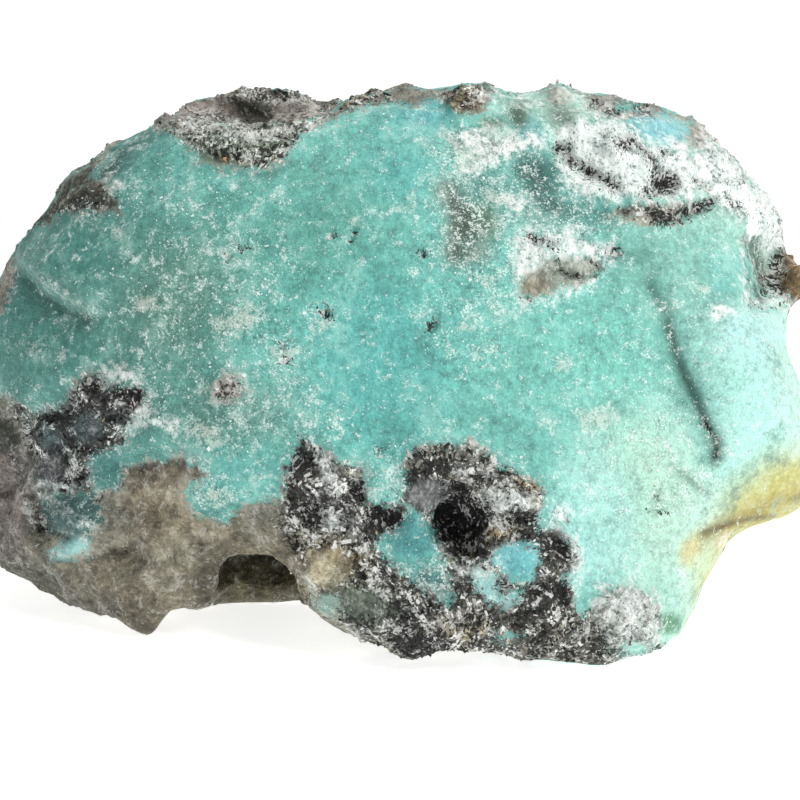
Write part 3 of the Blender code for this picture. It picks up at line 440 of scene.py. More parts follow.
class Map:
    """What the stone is made of at each point, and where shade is painted on it: depths in millimetres into
    each.
    """

    def __init__(self, points, normals):
        across, up, line = sighted(points)
        facing = -(normals * line).sum(axis=1)
        # 1 where the surface faces the eye, 0 where it is turned well away and the rest is made up
        self.seen = smooth_step(-0.5, -0.05, facing)
        # on faces seen side-on places wander, or else each patch would run straight back there
        wander = 10.0 * smooth_step(0.3, 0.05, facing)
        self.across = across = across + wander * cloud(points + 11.0, 6.0)
        self.up = up = up + wander * cloud(points - 11.0, 6.0)
        broad = cloud(points + 40.0, 15.0)
        patchy = cloud(points - 25.0, 7.0)
        front_rock = np.minimum(deepest(ROCK, across, up), -deepest(WINDOWS, across, up))
        self.rock = self.blend(np.clip(2.2 + 9.0 * broad, -4.0, 4.0), front_rock)
        self.frost = self.blend(5.0 * patchy - 2.2, deepest(FROST, across, up))
        self.dark = self.blend(-5.0 * patchy - 1.8, deepest(DARK, across, up))
        flakes = np.minimum(deepest(FLAKY, across, up), -deepest(SMOOTH, across, up))
        self.flaky = self.blend(10.0 * patchy - 1.4, flakes)
        self.dirt_and_shade = self.blend(6.0 * broad - 3.0, deepest(DIRT_AND_SHADE, across, up))
        self.veil = self.blend(6.0 * patchy - 2.4, deepest(VEIL, across, up))

    def blend(self, hidden, front):
        return hidden + (np.clip(front, -DEPTH_LIMIT, DEPTH_LIMIT) - hidden) * self.seen

    def share(self, softness, shapes):
        return smooth_step(-softness, softness, deepest(shapes, self.across, self.up))

    def amount(self, hidden, touches):
        """An amount brushed on over the front, and an even one where the eye doesn't reach."""
        front = np.zeros(len(self.up))
        for amount, softness, *shapes in touches:
            front += (amount - front) * self.share(softness, shapes)
        return self.blend(hidden, front)

    def tint(self, hidden, touches):
        """Colours brushed over one another on the front, and a hidden one behind."""
        front = np.tile(srgb(*touches[0][0]), (len(self.up), 1))
        for tone, strength, softness, *shapes in touches[1:]:
            front += (srgb(*tone) - front) * (strength * self.share(softness, shapes))[:, None]
        return hidden + (front - hidden) * self.seen[:, None]


YELLOW_EDGE = area((30, -17), (33, -9.4), (37, -6), (44, -4.2), (44, -16), (30, -22))

# How thickly white sugar lies on the turquoise: the amount, how softly it ends, and where
SUGAR = (
    (0.5, 4, area((-28, 22), (-14, 22), (-8, 8), (-16, -6), (-28, -2))),
    (0.8, 2.6, area((3, 26), (14, 27), (22, 18), (18, 12), (8, 8), (3, 14))),
    (1, 1.2, oval(7.6, 25, 3.6, 1.8), oval(8, 21, 3, 2)),
    (0.75, 1.4, oval(-14.6, -3, 4.4, 2), oval(-24.6, -2.2, 2.2, 1.2)),
    (0.8, 1.6, oval(-10.6, 0.6, 2.6, 2.6), oval(-8, -2.8, 3.6, 1.6)),
    (1, 1, area((-3.6, -6.4), (-0.4, -4.4), (1.2, -6), (0.6, -10.4), (-3, -10))),
    (0.9, 1, oval(2.6, -18, 3, 2.6), oval(-18.6, -9, 2.4, 1.8)),
    (0.7, 2, oval(6.6, 4.6, 3, 2), oval(-12.4, 5.4, 3, 3.4), oval(4, 9.6, 2.4, 1.6)),
    (0.2, 5, area((20, 8), (50, 12), (50, -30), (18, -30), (17, -6))),
    (0.7, 2, oval(24, -4, 3.4, 2), oval(28, -9, 3, 2.4)),
    (-0.6, 1.5, YELLOW_EDGE),
)

# Where the rock is flaky and glitters: the cluster, the dark bands at the left end, the
# dark pockets of the upper right and the brown knob in the recess
FLAKY = (
    area((-11.6, -2.6), (-9, -2.6), (-3, -6), (4, -3.4), (16, -7.6), (19, -14), (19, -20), (28.6, -18),
         (31, -28), (-2, -27), (-8, -19), (-12, -13)),
    area((-39, -0.5), (-26, 4), (-24, 0), (-28, -8.6), (-34, -9)),
    area((15.2, 26.4), (21, 29.2), (28, 27), (30, 20), (26, 17.4), (16, 21.6)),
    oval(14.2, 15.8, 1.6, 0.9), oval(-13, 31.2, 5.6, 1.5), oval(-4, 30.2, 2.6, 1.2),
    oval(6.4, 30.6, 2.2, 1.3), oval(-31.8, 19.6, 2.8, 1.1, 20), oval(-17.2, 1, 1.4, 1.2),
    area((-24.4, 27), (-19.6, 28.8), (-15, 27.2), (-9.6, 27.8), (-7, 29), (-8.6, 26.6), (-11.4, 23.8),
         (-13.8, 22.8), (-17, 23.8), (-21, 25)),
)

# Lumps of quartz and clay in the flaky rock, smoother than the rest of it
SMOOTH = (
    oval(-31.2, -2.9, 1.8, 1.6), oval(-35, -3.8, 1.5, 1.2), oval(-35, -6.9, 1.7, 1.5),
    oval(-7.2, -16.8, 2.4, 2.2), oval(2.6, -9.4, 1.9, 1.6), oval(-27.6, 2.2, 1.8, 0.8, -20),
    oval(-4, -20.2, 2.6, 1.4, -20),
)


def srgb(red, green, blue):
    """A colour read from 0 to 255, as the light it stands for."""
    channels = np.array([red, green, blue]) / 255.0
    return np.where(channels > 0.04045, ((channels + 0.055) / 1.055) ** 2.4, channels / 12.92)


# Tints of the turquoise, brushed on from the whole to the small: the tone, its strength,
# how softly it ends, and where. Deeper at the left, paler and mintier at the right.
TURQUOISE_TINTS = (
    ((116, 194, 183),),
    ((78, 140, 131), 0.9, 8, area((-50, 40), (-26, 40), (-22, 6), (-24, -30), (-50, -30))),
    ((74, 138, 128), 0.8, 3, oval(-35, 6, 6, 5), oval(-33, 13, 3, 5, -30)),
    ((112, 156, 146), 0.7, 1.4, oval(-37, 14.6, 1.6, 2.6, -30), strip(1.4, (-36.4, 12.8), (-31, 8.8))),
    # painted shade: darker under the crust's left end and along the foot of the left step
    ((60, 106, 98), 0.7, 1.4, oval(-29, 23.4, 2.6, 1.2, 40), strip(1.6, (-38.2, 12.2), (-35, 9.2),
     (-31.4, 7.4))),
    ((84, 156, 142), 0.6, 5, area((-20, 22), (-2, 22), (0, 12), (-20, 10))),
    ((90, 136, 122), 0.8, 4.5, oval(-22.5, 10, 6, 7.5)),
    ((84, 134, 122), 0.8, 3, oval(-17.5, -1.5, 7, 3.4)),
    ((196, 232, 218), 0.9, 9, area((28, 26), (50, 26), (50, -30), (24, -30), (25, -10), (30, 2))),
    ((164, 226, 216), 0.8, 3, oval(33, 0, 5, 9, 12)),
    ((178, 226, 224), 0.7, 2.4, oval(35, 7, 3, 3)),
    ((122, 186, 172), 0.85, 3, area((22, 18), (34, 18), (34.4, 10), (28, 8), (21, 10))),
    ((104, 186, 178), 0.8, 1.6, area((31, 14.6), (34, 14.6), (34.4, 10.6), (31, 10))),
    ((122, 202, 188), 0.7, 5, oval(21, 4, 7, 6)),
    ((186, 226, 205), 0.8, 4, oval(24, -10, 6, 8)),
    ((190, 184, 104), 0.95, 2.4, YELLOW_EDGE),
    ((164, 146, 70), 0.9, 1.2, strip(1.4, (30.4, -13.6), (34.6, -11.6), (38, -10), (44, -9))),
    ((104, 86, 36), 0.9, 0.4, strip(0.5, (30.4, -13.2), (32.4, -12.6), (34.4, -12), (37.4, -11.6))),
    ((204, 178, 96), 0.8, 0.8, oval(29, -15.2, 1, 1.5, -20)),
    ((222, 206, 190), 0.8, 0.8, oval(32.8, -14.4, 1, 0.9, 30)),
    # painted shade: the long groove on the right darkened along its length, darkest in its core, and the
    # short groove below it
    ((96, 164, 150), 0.8, 1.6, strip(2, (24.9, 11.4), (26, 8), (27.4, 4), (29.6, -1), (31, -5.4))),
    ((58, 104, 92), 0.5, 0.5, strip(0.7, (25.2, 11.2), (26.8, 8.2), (27.4, 5), (28.6, 2.4), (30, -0.8),
     (31.6, -4), (31.8, -5.6))),
    ((44, 78, 68), 0.7, 0.8, strip(0.7, (26.8, 7.6), (27.7, 4.6), (28.2, 2.8), (30.2, -1.4)), strip(1,
     (30.2, -1.6), (31.4, -3.6), (31.8, -4.6), (31.4, -6))),
    ((66, 124, 112), 0.7, 0.6, strip(0.5, (27.2, -6.6), (28.9, -7.8), (30.2, -9))),
    ((84, 176, 172), 0.7, 5, oval(1, 24, 4, 4), oval(-2, 3, 7, 9)),
    ((86, 166, 176), 0.7, 1.4, oval(2.4, 28.6, 2.2, 1.2)),
    ((120, 186, 200), 0.8, 1, oval(26, 27.2, 3, 1.6, -14)),
    ((84, 154, 160), 0.8, 1.2, oval(13, 27, 1.5, 1.7)),
    ((52, 112, 104), 0.9, 2.2, oval(14.6, 22.4, 2.2, 2.2), oval(14.6, 18.8, 2.6, 1.4),
     oval(8, 17.8, 1.8, 1.6)),
    ((86, 144, 134), 0.8, 2, oval(20, 18.6, 3.2, 1.2), oval(8, 21.4, 3.4, 2)),
    ((138, 186, 174), 0.75, 1.8, oval(7.6, 25.4, 4.6, 1.2), oval(18, 26.6, 3, 1.2)),
    ((166, 202, 188), 0.85, 1.2, area((8.4, 32.4), (20.6, 32), (21, 28.4), (15.6, 28), (9.4, 28.8))),
    ((82, 112, 88), 0.8, 0.7, oval(11.8, 28.5, 1.1, 1.3), oval(9.4, 27.8, 1.4, 0.5)),
    ((128, 148, 134), 0.8, 0.8, oval(16.2, 28.2, 1.7, 1.3)),
    ((70, 116, 80), 0.85, 1.2, oval(8, 17.6, 2, 1.9)),
    ((112, 124, 112), 0.85, 1.2, strip(2.4, (4.6, 21), (5.8, 18.6), (5.4, 14.8)), oval(7.4, 14.6, 1.6, 1)),
    ((92, 124, 112), 0.9, 0.5, strip(1.8, (35.2, 16), (35.7, 12.6), (35.6, 10.4))),
    ((162, 220, 214), 0.7, 3, oval(19.4, -12.6, 4.6, 7)),
    ((134, 162, 152), 0.95, 0.8, oval(-7.2, -20.6, 1.8, 1.8)),
    ((72, 146, 148), 0.9, 1, oval(1.2, -13.6, 2.6, 2.4)),
    ((74, 134, 132), 0.8, 1.6, oval(3.2, -18.4, 2.4, 2.2)),
    ((108, 188, 196), 0.9, 1, oval(11.8, -15.8, 2.4, 2)),
    ((160, 204, 204), 0.8, 0.8, oval(9, -18.6, 1.6, 1.8), oval(11, -20.4, 1.8, 0.9)),
    ((56, 126, 118), 0.8, 1, oval(-18.6, -11.2, 1.6, 0.9), oval(-17.4, -10.4, 1.2, 0.8)),
    ((72, 164, 158), 0.6, 2, area((-18.6, -5.4), (-11.8, -5.6), (-11.8, -9.6), (-18, -8.6))),
    ((126, 196, 192), 0.7, 1, oval(-15, -7.8, 1.8, 0.9)),
    ((78, 140, 136), 0.85, 1, oval(-29.6, -6.8, 2, 2.2)),
    ((50, 84, 82), 0.95, 0.8, oval(-33, -11.6, 3.4, 2.4)),
    ((140, 190, 190), 0.9, 0.7, oval(-32.7, -14.9, 2.4, 1.1, 12)),
    ((62, 126, 88), 0.9, 0.6, oval(27, -22.4, 1.3, 1.1), oval(-3.4, -22.2, 1, 0.8)),
)

# Tints of the rock, in the same way: grey crust, brown underside, dark cluster, white shoulder, with painted
# shade in the hollows and by the foot and painted light and shade on the far lump
ROCK_TINTS = (
    ((140, 140, 128),),
    ((132, 124, 102), 0.9, 3, area((-44, -9), (-31, -15), (-18, -12), (-8, -14), (-6, -30), (-50, -30))),
    ((104, 104, 92), 0.85, 2.4, area((-44, -12), (-37, -14.6), (-33, -18), (-29, -20.6), (-30, -30),
     (-50, -30))),
    ((148, 142, 122), 0.8, 2.2, oval(-24, -16.6, 5, 2.2, -16)),
    ((152, 147, 127), 0.8, 2.4, oval(-21.6, -15.4, 5, 1.6, -8)),
    # painted shade: darker along the underside's lower edge, by the foot and left of the hollow
    ((86, 84, 68), 0.8, 1.6, strip(1.6, (-42, -16), (-36.9, -18.2), (-31.4, -21.6), (-25, -24))),
    ((78, 72, 54), 0.9, 2, oval(-25, -22.6, 2.6, 1, -30), oval(-18.6, -18.8, 2.2, 3.8, -10)),
    ((120, 114, 112), 0.9, 2, area((-44, -5), (-38.4, -5), (-36.4, -11), (-38, -15), (-44, -15))),
    ((150, 142, 138), 0.7, 0.8, oval(-38.4, -7, 1.2, 2.2, -20)),
    ((162, 150, 142), 0.85, 1, strip(1.6, (-40, -5.6), (-38.6, -8), (-37.8, -11))),
    # painted shade: near black in the cavity at the left end, behind its pale rim
    ((46, 54, 44), 0.95, 0.8, area((-42, -0.6), (-39.6, -1.4), (-37.8, -3.4), (-38.2, -5), (-42, -5.8))),
    ((132, 150, 138), 0.9, 0.6, strip(1.4, (-41, 1), (-38.4, 0.2), (-37.2, -1.6), (-36.9, -2.6))),
    ((62, 74, 72), 0.95, 1.4, area((-36.6, -1), (-32, 2), (-28, 3.8), (-24.6, 2.4), (-24.6, -0.2), (-31, -9),
     (-36.4, -9.4))),
    ((112, 104, 104), 0.7, 0.9, oval(-31, 0.2, 2.4, 0.8), oval(-26.4, -0.6, 1, 0.6)),
    ((74, 92, 94), 0.95, 0.8, oval(-31.2, -2.9, 1.7, 1.5), oval(-35, -3.8, 1.4, 1.1)),
    ((88, 92, 96), 0.95, 0.9, oval(-35, -6.9, 1.6, 1.4)),
    ((164, 184, 182), 0.75, 0.5, strip(0.5, (-36, -8.2), (-33, -8.8), (-30.6, -8)), strip(0.4, (-33, -5.4),
     (-32, -7.2))),
    ((66, 60, 46), 0.9, 0.7, oval(-36.4, -11.8, 1.2, 2, 12)),
    ((148, 138, 114), 0.95, 1.2, oval(-23.8, -9.4, 4.2, 2.4, 4), oval(-22, -12.4, 4.6, 1.6)),
    ((190, 182, 158), 0.85, 0.8, oval(-22.2, -8.8, 2.4, 0.8, 6)),
    ((104, 92, 70), 0.85, 0.6, strip(1.2, (-26.6, -7.2), (-23.4, -6.4), (-20.2, -6.8)),
     oval(-25.2, -11, 1.2, 0.9)),
    ((64, 54, 38), 0.8, 0.4, strip(0.6, (-25.4, -6.6), (-22.4, -6.2), (-20.4, -6.6))),
    ((72, 68, 54), 0.9, 0.6, oval(-27.8, -15.2, 1.7, 0.6, 14)),
    ((84, 88, 78), 0.8, 0.5, strip(0.5, (-37, -13), (-35.4, -16), (-33.6, -17.6))),
    # painted shade: darker brown inside the hollow under the left side
    ((104, 98, 68), 0.96, 0.7, area((-7.6, -22.6), (-8.8, -20.6), (-10.6, -17.4), (-12.6, -15.6),
     (-15.8, -15.2), (-17.4, -16.8), (-18.2, -19), (-19.6, -21.4))),
    ((146, 140, 126), 0.8, 0.8, strip(1, (-17.6, -11.8), (-14.4, -10.4), (-11.8, -10.2))),
    ((62, 62, 58), 0.95, 1.2, area((-11.4, -4), (-10, -2.8), (-3.4, -7.2), (-3.4, -10), (4, -5), (12, -7.6),
     (14.4, -12), (17.6, -14), (17.4, -22), (10, -27), (0, -27), (-4, -14), (-11.6, -12))),
    ((146, 148, 148), 0.85, 0.9, oval(-7.4, -8, 0.9, 2.8, -16), oval(-6, -12.4, 2.4, 1, -14),
     oval(3, -9.6, 1.9, 1.6)),
    ((120, 122, 124), 0.85, 0.7, oval(2.6, -9.4, 2, 1.5)),
    ((174, 172, 166), 0.8, 0.7, strip(0.9, (5.6, -7.6), (8, -8.6), (9.4, -9.8)), strip(1, (8, -6.4),
     (11, -8), (13.6, -9.6))),
    ((158, 142, 104), 0.85, 0.6, oval(12.8, -8.8, 1.7, 0.9, -35), oval(9.6, -13.2, 1.8, 0.9, 20)),
    ((214, 208, 186), 0.8, 0.4, strip(0.4, (-5.4, -7.2), (-3.8, -7.6)), oval(13.8, -9.6, 0.6, 0.6)),
    ((140, 126, 96), 0.95, 1.3, oval(-6, -16.6, 3, 2.6)),
    ((206, 196, 162), 0.9, 1, oval(-7.6, -17, 1.6, 1.6)),
    ((104, 118, 104), 0.9, 1.4, oval(-3.6, -20.4, 3.6, 2.4, -20)),
    ((70, 88, 72), 0.8, 0.6, oval(-5.4, -21.2, 0.8, 0.6), oval(-3.8, -22.2, 0.8, 0.6)),
    ((182, 184, 166), 0.85, 0.5, strip(0.9, (-9.4, -17.6), (-8.2, -20.2), (-6, -22.8), (-2.4, -24.8))),
    ((96, 92, 84), 0.8, 2, area((10, -21), (18, -21.6), (23, -26), (20, -28), (8, -27))),
    ((150, 146, 136), 0.7, 1, area((2.6, -21.6), (8.4, -20), (9, -22), (3.6, -23.6))),
    ((204, 194, 164), 0.8, 0.5, oval(5.2, -23, 0.9, 0.7), oval(6.6, -23.4, 0.8, 0.9),
     oval(8.4, -22.8, 0.7, 0.7)),
    ((112, 128, 120), 0.85, 1.2, area((20, -18), (27, -18), (28, -26), (20, -26))),
    ((176, 196, 186), 0.7, 0.8, oval(23.4, -20, 1.8, 0.8), strip(0.6, (25.8, -19.6), (25.6, -24))),
    ((146, 138, 128), 0.9, 1.6, area((-24, 33), (-24, 28), (-9, 28), (-7, 33))),
    # painted highlights: pale and near-white spots on the far lump
    ((192, 182, 176), 0.9, 0.7, oval(-20.2, 28.9, 2.4, 0.8, 24), oval(-9.6, 28.9, 1.8, 0.7, -16)),
    ((222, 216, 210), 0.9, 0.3, oval(-11.8, 29.7, 0.8, 0.3, 6), oval(-8.8, 29.3, 0.5, 0.25)),
    # painted shade: the far lump's hollows and the gap behind the ridge's crest
    ((64, 62, 52), 0.92, 0.6, area((-17, 30), (-14, 29.4), (-12.8, 28), (-13, 27.2), (-15.6, 27.6)),
     oval(-12.4, 30.6, 1.8, 0.5), strip(0.5, (-21.8, 27.6), (-18.4, 28.3), (-15.8, 27.6))),
    ((66, 74, 60), 0.9, 1.2, area((-38, 15), (-36, 21), (-31, 24.4), (-27, 20.8), (-28.4, 17))),
    ((58, 62, 50), 0.9, 0.9, oval(-31.8, 19.8, 2.8, 1, 22)),
    ((108, 100, 80), 0.6, 0.7, oval(-33, 20.6, 1.6, 0.6, 40), oval(-29.6, 21.4, 1, 0.5)),
    ((200, 202, 182), 0.85, 0.35, strip(0.5, (-32, 18.6), (-30, 18.4), (-28.2, 17.6))),
    ((164, 166, 150), 0.8, 0.8, strip(1, (-35.6, 20.6), (-31.6, 24.4), (-25.6, 27.4))),
    ((134, 148, 130), 0.85, 1.2, oval(-17, 25.2, 6.4, 1.8, 6)),
    ((104, 124, 104), 0.8, 1, oval(-16.6, 24.2, 4, 0.8, 0), oval(-12.4, 25.2, 1.6, 1.2)),
    # painted highlight along the ridge's crest
    ((206, 206, 194), 0.9, 0.5, strip(0.8, (-22.8, 27.4), (-19.2, 27.8), (-14.6, 26.4), (-10.4, 27.2))),
    ((196, 134, 40), 0.85, 0.25, oval(-17.4, 24.2, 0.45, 0.35)),
    ((112, 104, 84), 0.9, 0.8, oval(-4.4, 30.2, 1.8, 1.1)),
    ((196, 178, 132), 0.7, 0.3, oval(-3.6, 30.6, 0.5, 0.4), oval(-5.4, 29.8, 0.4, 0.3)),
    ((122, 112, 88), 0.9, 0.8, oval(6.6, 30, 2.4, 1.7)),
    ((202, 212, 202), 0.9, 0.8, oval(15.8, 31, 1.9, 1.4)),
    ((160, 156, 146), 0.9, 1.2, area((18.8, 32), (18.6, 28.6), (28, 28.2), (30, 24.8), (33, 24), (38, 18),
     (44, 20), (34, 34))),
    ((190, 186, 174), 0.85, 1, oval(30.2, 26.4, 1.6, 1.4, -40), oval(29, 25.6, 1.2, 0.8)),
    ((222, 224, 218), 0.8, 1.2, area((31, 24.4), (34.4, 23.4), (38.6, 17), (36, 16), (32.8, 19.4))),
    ((150, 148, 130), 0.9, 0.8, area((22, 19.8), (22.4, 17.6), (26.8, 17.4), (27.6, 19.8))),
    ((150, 162, 148), 0.95, 0.7, area((14, 14.8), (20.4, 14.8), (20.4, 12), (16, 10.8), (14, 11.8))),
    ((108, 120, 104), 0.8, 0.35, strip(0.3, (15.6, 13.8), (16.4, 12.6), (19.6, 12.4), (20.1, 13.2),
     (18.6, 14), (16, 13.6))),
    ((172, 168, 144), 0.9, 0.7, area((11.6, 12.6), (14.2, 12.6), (15.4, 10.2), (12, 9.8))),
    ((168, 162, 158), 0.8, 0.8, oval(-17.2, 1, 1.8, 1.6)),
    ((214, 220, 212), 0.85, 0.6, strip(1.4, (37, 17), (36.8, 14.6), (36, 13))),
    ((142, 114, 76), 0.97, 0.3, area((37.8, 15.2), (42, 15.6), (42, 6), (38.2, 8.4), (37.6, 11.6))),
    ((86, 66, 40), 0.8, 0.3, strip(0.5, (38, 11.6), (39.4, 9.6), (41, 8.6))),
    ((226, 222, 206), 0.9, 0.15, strip(0.2, (36.6, 12.5), (37.4, 12.8), (38.1, 13.2)), strip(0.2, (38, 14.6),
     (38.6, 13.2))),
    ((196, 208, 202), 0.8, 0.5, strip(0.8, (35, 9.9), (37.4, 9.8), (39.4, 9.4))),
)


def carve(skin):
    """The stone's fine relief: blocky where it is flaky, lumpy in the crust, low in the turquoise."""
    points, normals = points_of(skin.data)
    stuff = Map(points, normals)
    rock = smooth_step(-0.35, 0.35, stuff.rock)
    frost = smooth_step(-0.3, 0.5, stuff.frost)
    dark = smooth_step(-0.3, 0.3, stuff.dark)
    flaky = rock * smooth_step(-0.6, 0.6, stuff.flaky)
    fine = cloud(points, 1.0)
    lumpy = cloud(points + 9.0, 3.2)
    big_chips = blocks(points, 1.7)
    small_chips = blocks(points, 0.8)
    dirt_and_shade = smooth_step(-0.3, 0.5, stuff.dirt_and_shade)
    veil = smooth_step(-0.2, 0.5, stuff.veil)
    rise = 0.05 * fine + 0.10 * lumpy
    rise += rock * (0.16 * fine + 0.28 * lumpy + 0.06 * small_chips)
    rise += flaky * (0.40 * big_chips + 0.14 * small_chips + 0.14)
    rise += frost * (0.18 * fine + 0.08 * small_chips + 0.16)
    rise += 0.12 * veil
    rise -= 0.45 * dark + 0.15 * dirt_and_shade
    above_ground = smooth_step(0.1, 1.5, points[:, 2])
    points += normals * (rise * above_ground)[:, None]
    put_points(skin.data, points)


def thin_out(skin):
    """Fewer triangles, most of them taken from the plain places and from the back."""
    points, normals = points_of(skin.data)
    _, _, line = sighted(points)
    seen = smooth_step(-0.2, 0.3, -(normals * line).sum(axis=1))
    group = skin.vertex_groups.new(name="may_be_thinned")
    for level in range(1, 11):
        share = level / 10.0
        chosen = np.flatnonzero(np.rint(10.0 * (1.0 - 0.8 * seen)) == level)
        group.add(chosen.tolist(), share, "REPLACE")
    thin = skin.modifiers.new("thin", "DECIMATE")
    skin.data.calc_loop_triangles()
    thin.ratio = min(1.0, SKIN_TRIANGLES / len(skin.data.loop_triangles))
    thin.vertex_group = group.name
    thin.vertex_group_factor = 3.0
    thin.use_collapse_triangulate = True
    keep_modified(skin)
    skin.vertex_groups.clear()
    points, _ = points_of(skin.data)
    put_points(skin.data, points)


def colour_points(mesh, name, colours):
    field = mesh.attributes.new(name, "FLOAT_COLOR", "POINT")
    colours = np.column_stack([colours, np.ones(len(colours))]).astype(np.float32)
    field.data.foreach_set("color", colours.ravel())


def paint(skin):
    """Gives every point its depths into each stuff and its tints, for the finish to read."""
    points, normals = points_of(skin.data)
    stuff = Map(points, normals)
    sugar = stuff.amount(0.4, SUGAR)
    layers = {"rock": stuff.rock, "frost": stuff.frost, "dark": stuff.dark, "flaky": stuff.flaky,
              "dirt_and_shade": stuff.dirt_and_shade, "veil": stuff.veil, "sugar": sugar, "lightness": cloud(points + 3.0, 1.8)}
    for name, depth in layers.items():
        field = skin.data.attributes.new(name, "FLOAT", "POINT")
        field.data.foreach_set("value", np.clip(depth, -DEPTH_LIMIT, DEPTH_LIMIT).astype(np.float32))
    broad = cloud(points + 70.0, 12.0)[:, None]
    deep, paler = srgb(96, 160, 150), srgb(128, 196, 184)
    clay, slate = srgb(150, 142, 122), srgb(96, 94, 84)
    deep = deep + (paler - deep) * smooth_step(-0.4, 0.4, broad)
    grey = clay + (slate - clay) * smooth_step(-0.4, 0.4, -broad)
    colour_points(skin.data, "turquoise_tint", stuff.tint(deep, TURQUOISE_TINTS))
    colour_points(skin.data, "rock_tint", stuff.tint(grey, ROCK_TINTS))
    return stuff


class Wire:
    """A socket that gives a value or a colour. Sums on it add Math nodes to its material."""

    def __init__(self, tree, socket):
        self.tree = tree
        self.socket = socket

    def sum(self, operation, first, second):
        return node(self.tree, "ShaderNodeMath", {"operation": operation}, {0: first, 1: second})

    def __add__(self, other):
        return self.sum("ADD", self, other)

    def __radd__(self, other):
        return self.sum("ADD", other, self)

    def __sub__(self, other):
        return self.sum("SUBTRACT", self, other)

    def __rsub__(self, other):
        return self.sum("SUBTRACT", other, self)

    def __mul__(self, other):
        return self.sum("MULTIPLY", self, other)

    def __rmul__(self, other):
        return self.sum("MULTIPLY", other, self)


def node(tree, kind, settings=None, inputs=None, output=0):
    """Adds a node: its type, its settings, and the values or wires of its sockets."""
    made = tree.nodes.new(kind)
    for name, value in (settings or {}).items():
        setattr(made, name, value)
    for key, value in (inputs or {}).items():
        if isinstance(value, Wire):
            tree.links.new(value.socket, made.inputs[key])
        else:
            made.inputs[key].default_value = value
    return Wire(tree, made.outputs[output])


class Finish:
    """A material in the making, with the patterns that this stone's finishes are mixed from."""

    def __init__(self, name):
        self.material = bpy.data.materials.new(name)
        self.material.use_nodes = True
        self.tree = self.material.node_tree
        self.surface = self.tree.nodes["Principled BSDF"]
        place = self.add("ShaderNodeTexCoord", output="Object")
        self.place = self.add("ShaderNodeVectorMath", {"operation": "SCALE"}, {0: place, "Scale": 1.0 / MM})

    def add(self, kind, settings=None, inputs=None, output=0):
        return node(self.tree, kind, settings, inputs, output)

    def painted(self, name, output="Fac"):
        return self.add("ShaderNodeAttribute", {"attribute_name": name}, output=output)

    def step(self, value, low, high):
        """0 at low, 1 at high and smooth between."""
        ends = {"Value": value, "From Min": low, "From Max": high, "To Min": 0.0, "To Max": 1.0}
        return self.add("ShaderNodeMapRange", {"interpolation_type": "SMOOTHSTEP"}, ends)

    def mix(self, share, first, second):
        def colour(value):
            return value if isinstance(value, Wire) else (*value, 1.0)

        ends = {0: share, 6: colour(first), 7: colour(second)}
        return self.add("ShaderNodeMix", {"data_type": "RGBA"}, ends, 2)

    def over(self, base, level, low, high, strength, colour):
        """A colour laid over a base: nothing of it at the low level, its full strength at the high."""
        return self.mix(self.step(level, low, high) * strength, base, colour)

    def noise(self, size, detail, rough, place=None, distortion=0.0):
        """Soft noise about nothing, from about -0.5 to 0.5, with lumps of a size."""
        inputs = {"Vector": place or self.place, "Scale": 1.0 / size, "Detail": detail, "Roughness": rough,
                  "Distortion": distortion}
        return self.add("ShaderNodeTexNoise", None, inputs) - 0.5

    def cells(self, size, place=None):
        """A random colour for each of the cells of a size."""
        inputs = {"Vector": place or self.place, "Scale": 1.0 / size}
        return self.add("ShaderNodeTexVoronoi", None, inputs, "Color")

    def scaled(self, colour, level):
        """A colour made darker or lighter by a level about 1."""
        return self.add("ShaderNodeVectorMath", {"operation": "SCALE"}, {0: colour, "Scale": level})

    def channels(self, colour):
        split = self.add("ShaderNodeSeparateColor", None, {0: colour}).socket.node
        return [Wire(self.tree, socket) for socket in split.outputs]

    def vector(self, operation, first, second):
        return self.add("ShaderNodeVectorMath", {"operation": operation}, {0: first, 1: second})

    def finish(self, inputs):
        for name, value in inputs.items():
            if isinstance(value, Wire):
                self.tree.links.new(value.socket, self.surface.inputs[name])
            else:
                self.surface.inputs[name].default_value = value
        return self.material


# How large the marks of the finish are, in millimetres, from the broad to the fine
CLOUD_SIZE = 5.5
RAGGED_SIZE = 2.2
FLAKE_PATCH_SIZE = 2.2
CRUMBS_SIZE = 1.5
CURD_SIZE = 1.3
MOTTLE_SIZE = 0.75
FLAKE_SIZE = 0.26
BLOT_SIZE = 0.24
GRIT_SIZE = 0.2
FLAKE_PROPORTIONS = (1.0, 0.36, 0.7)


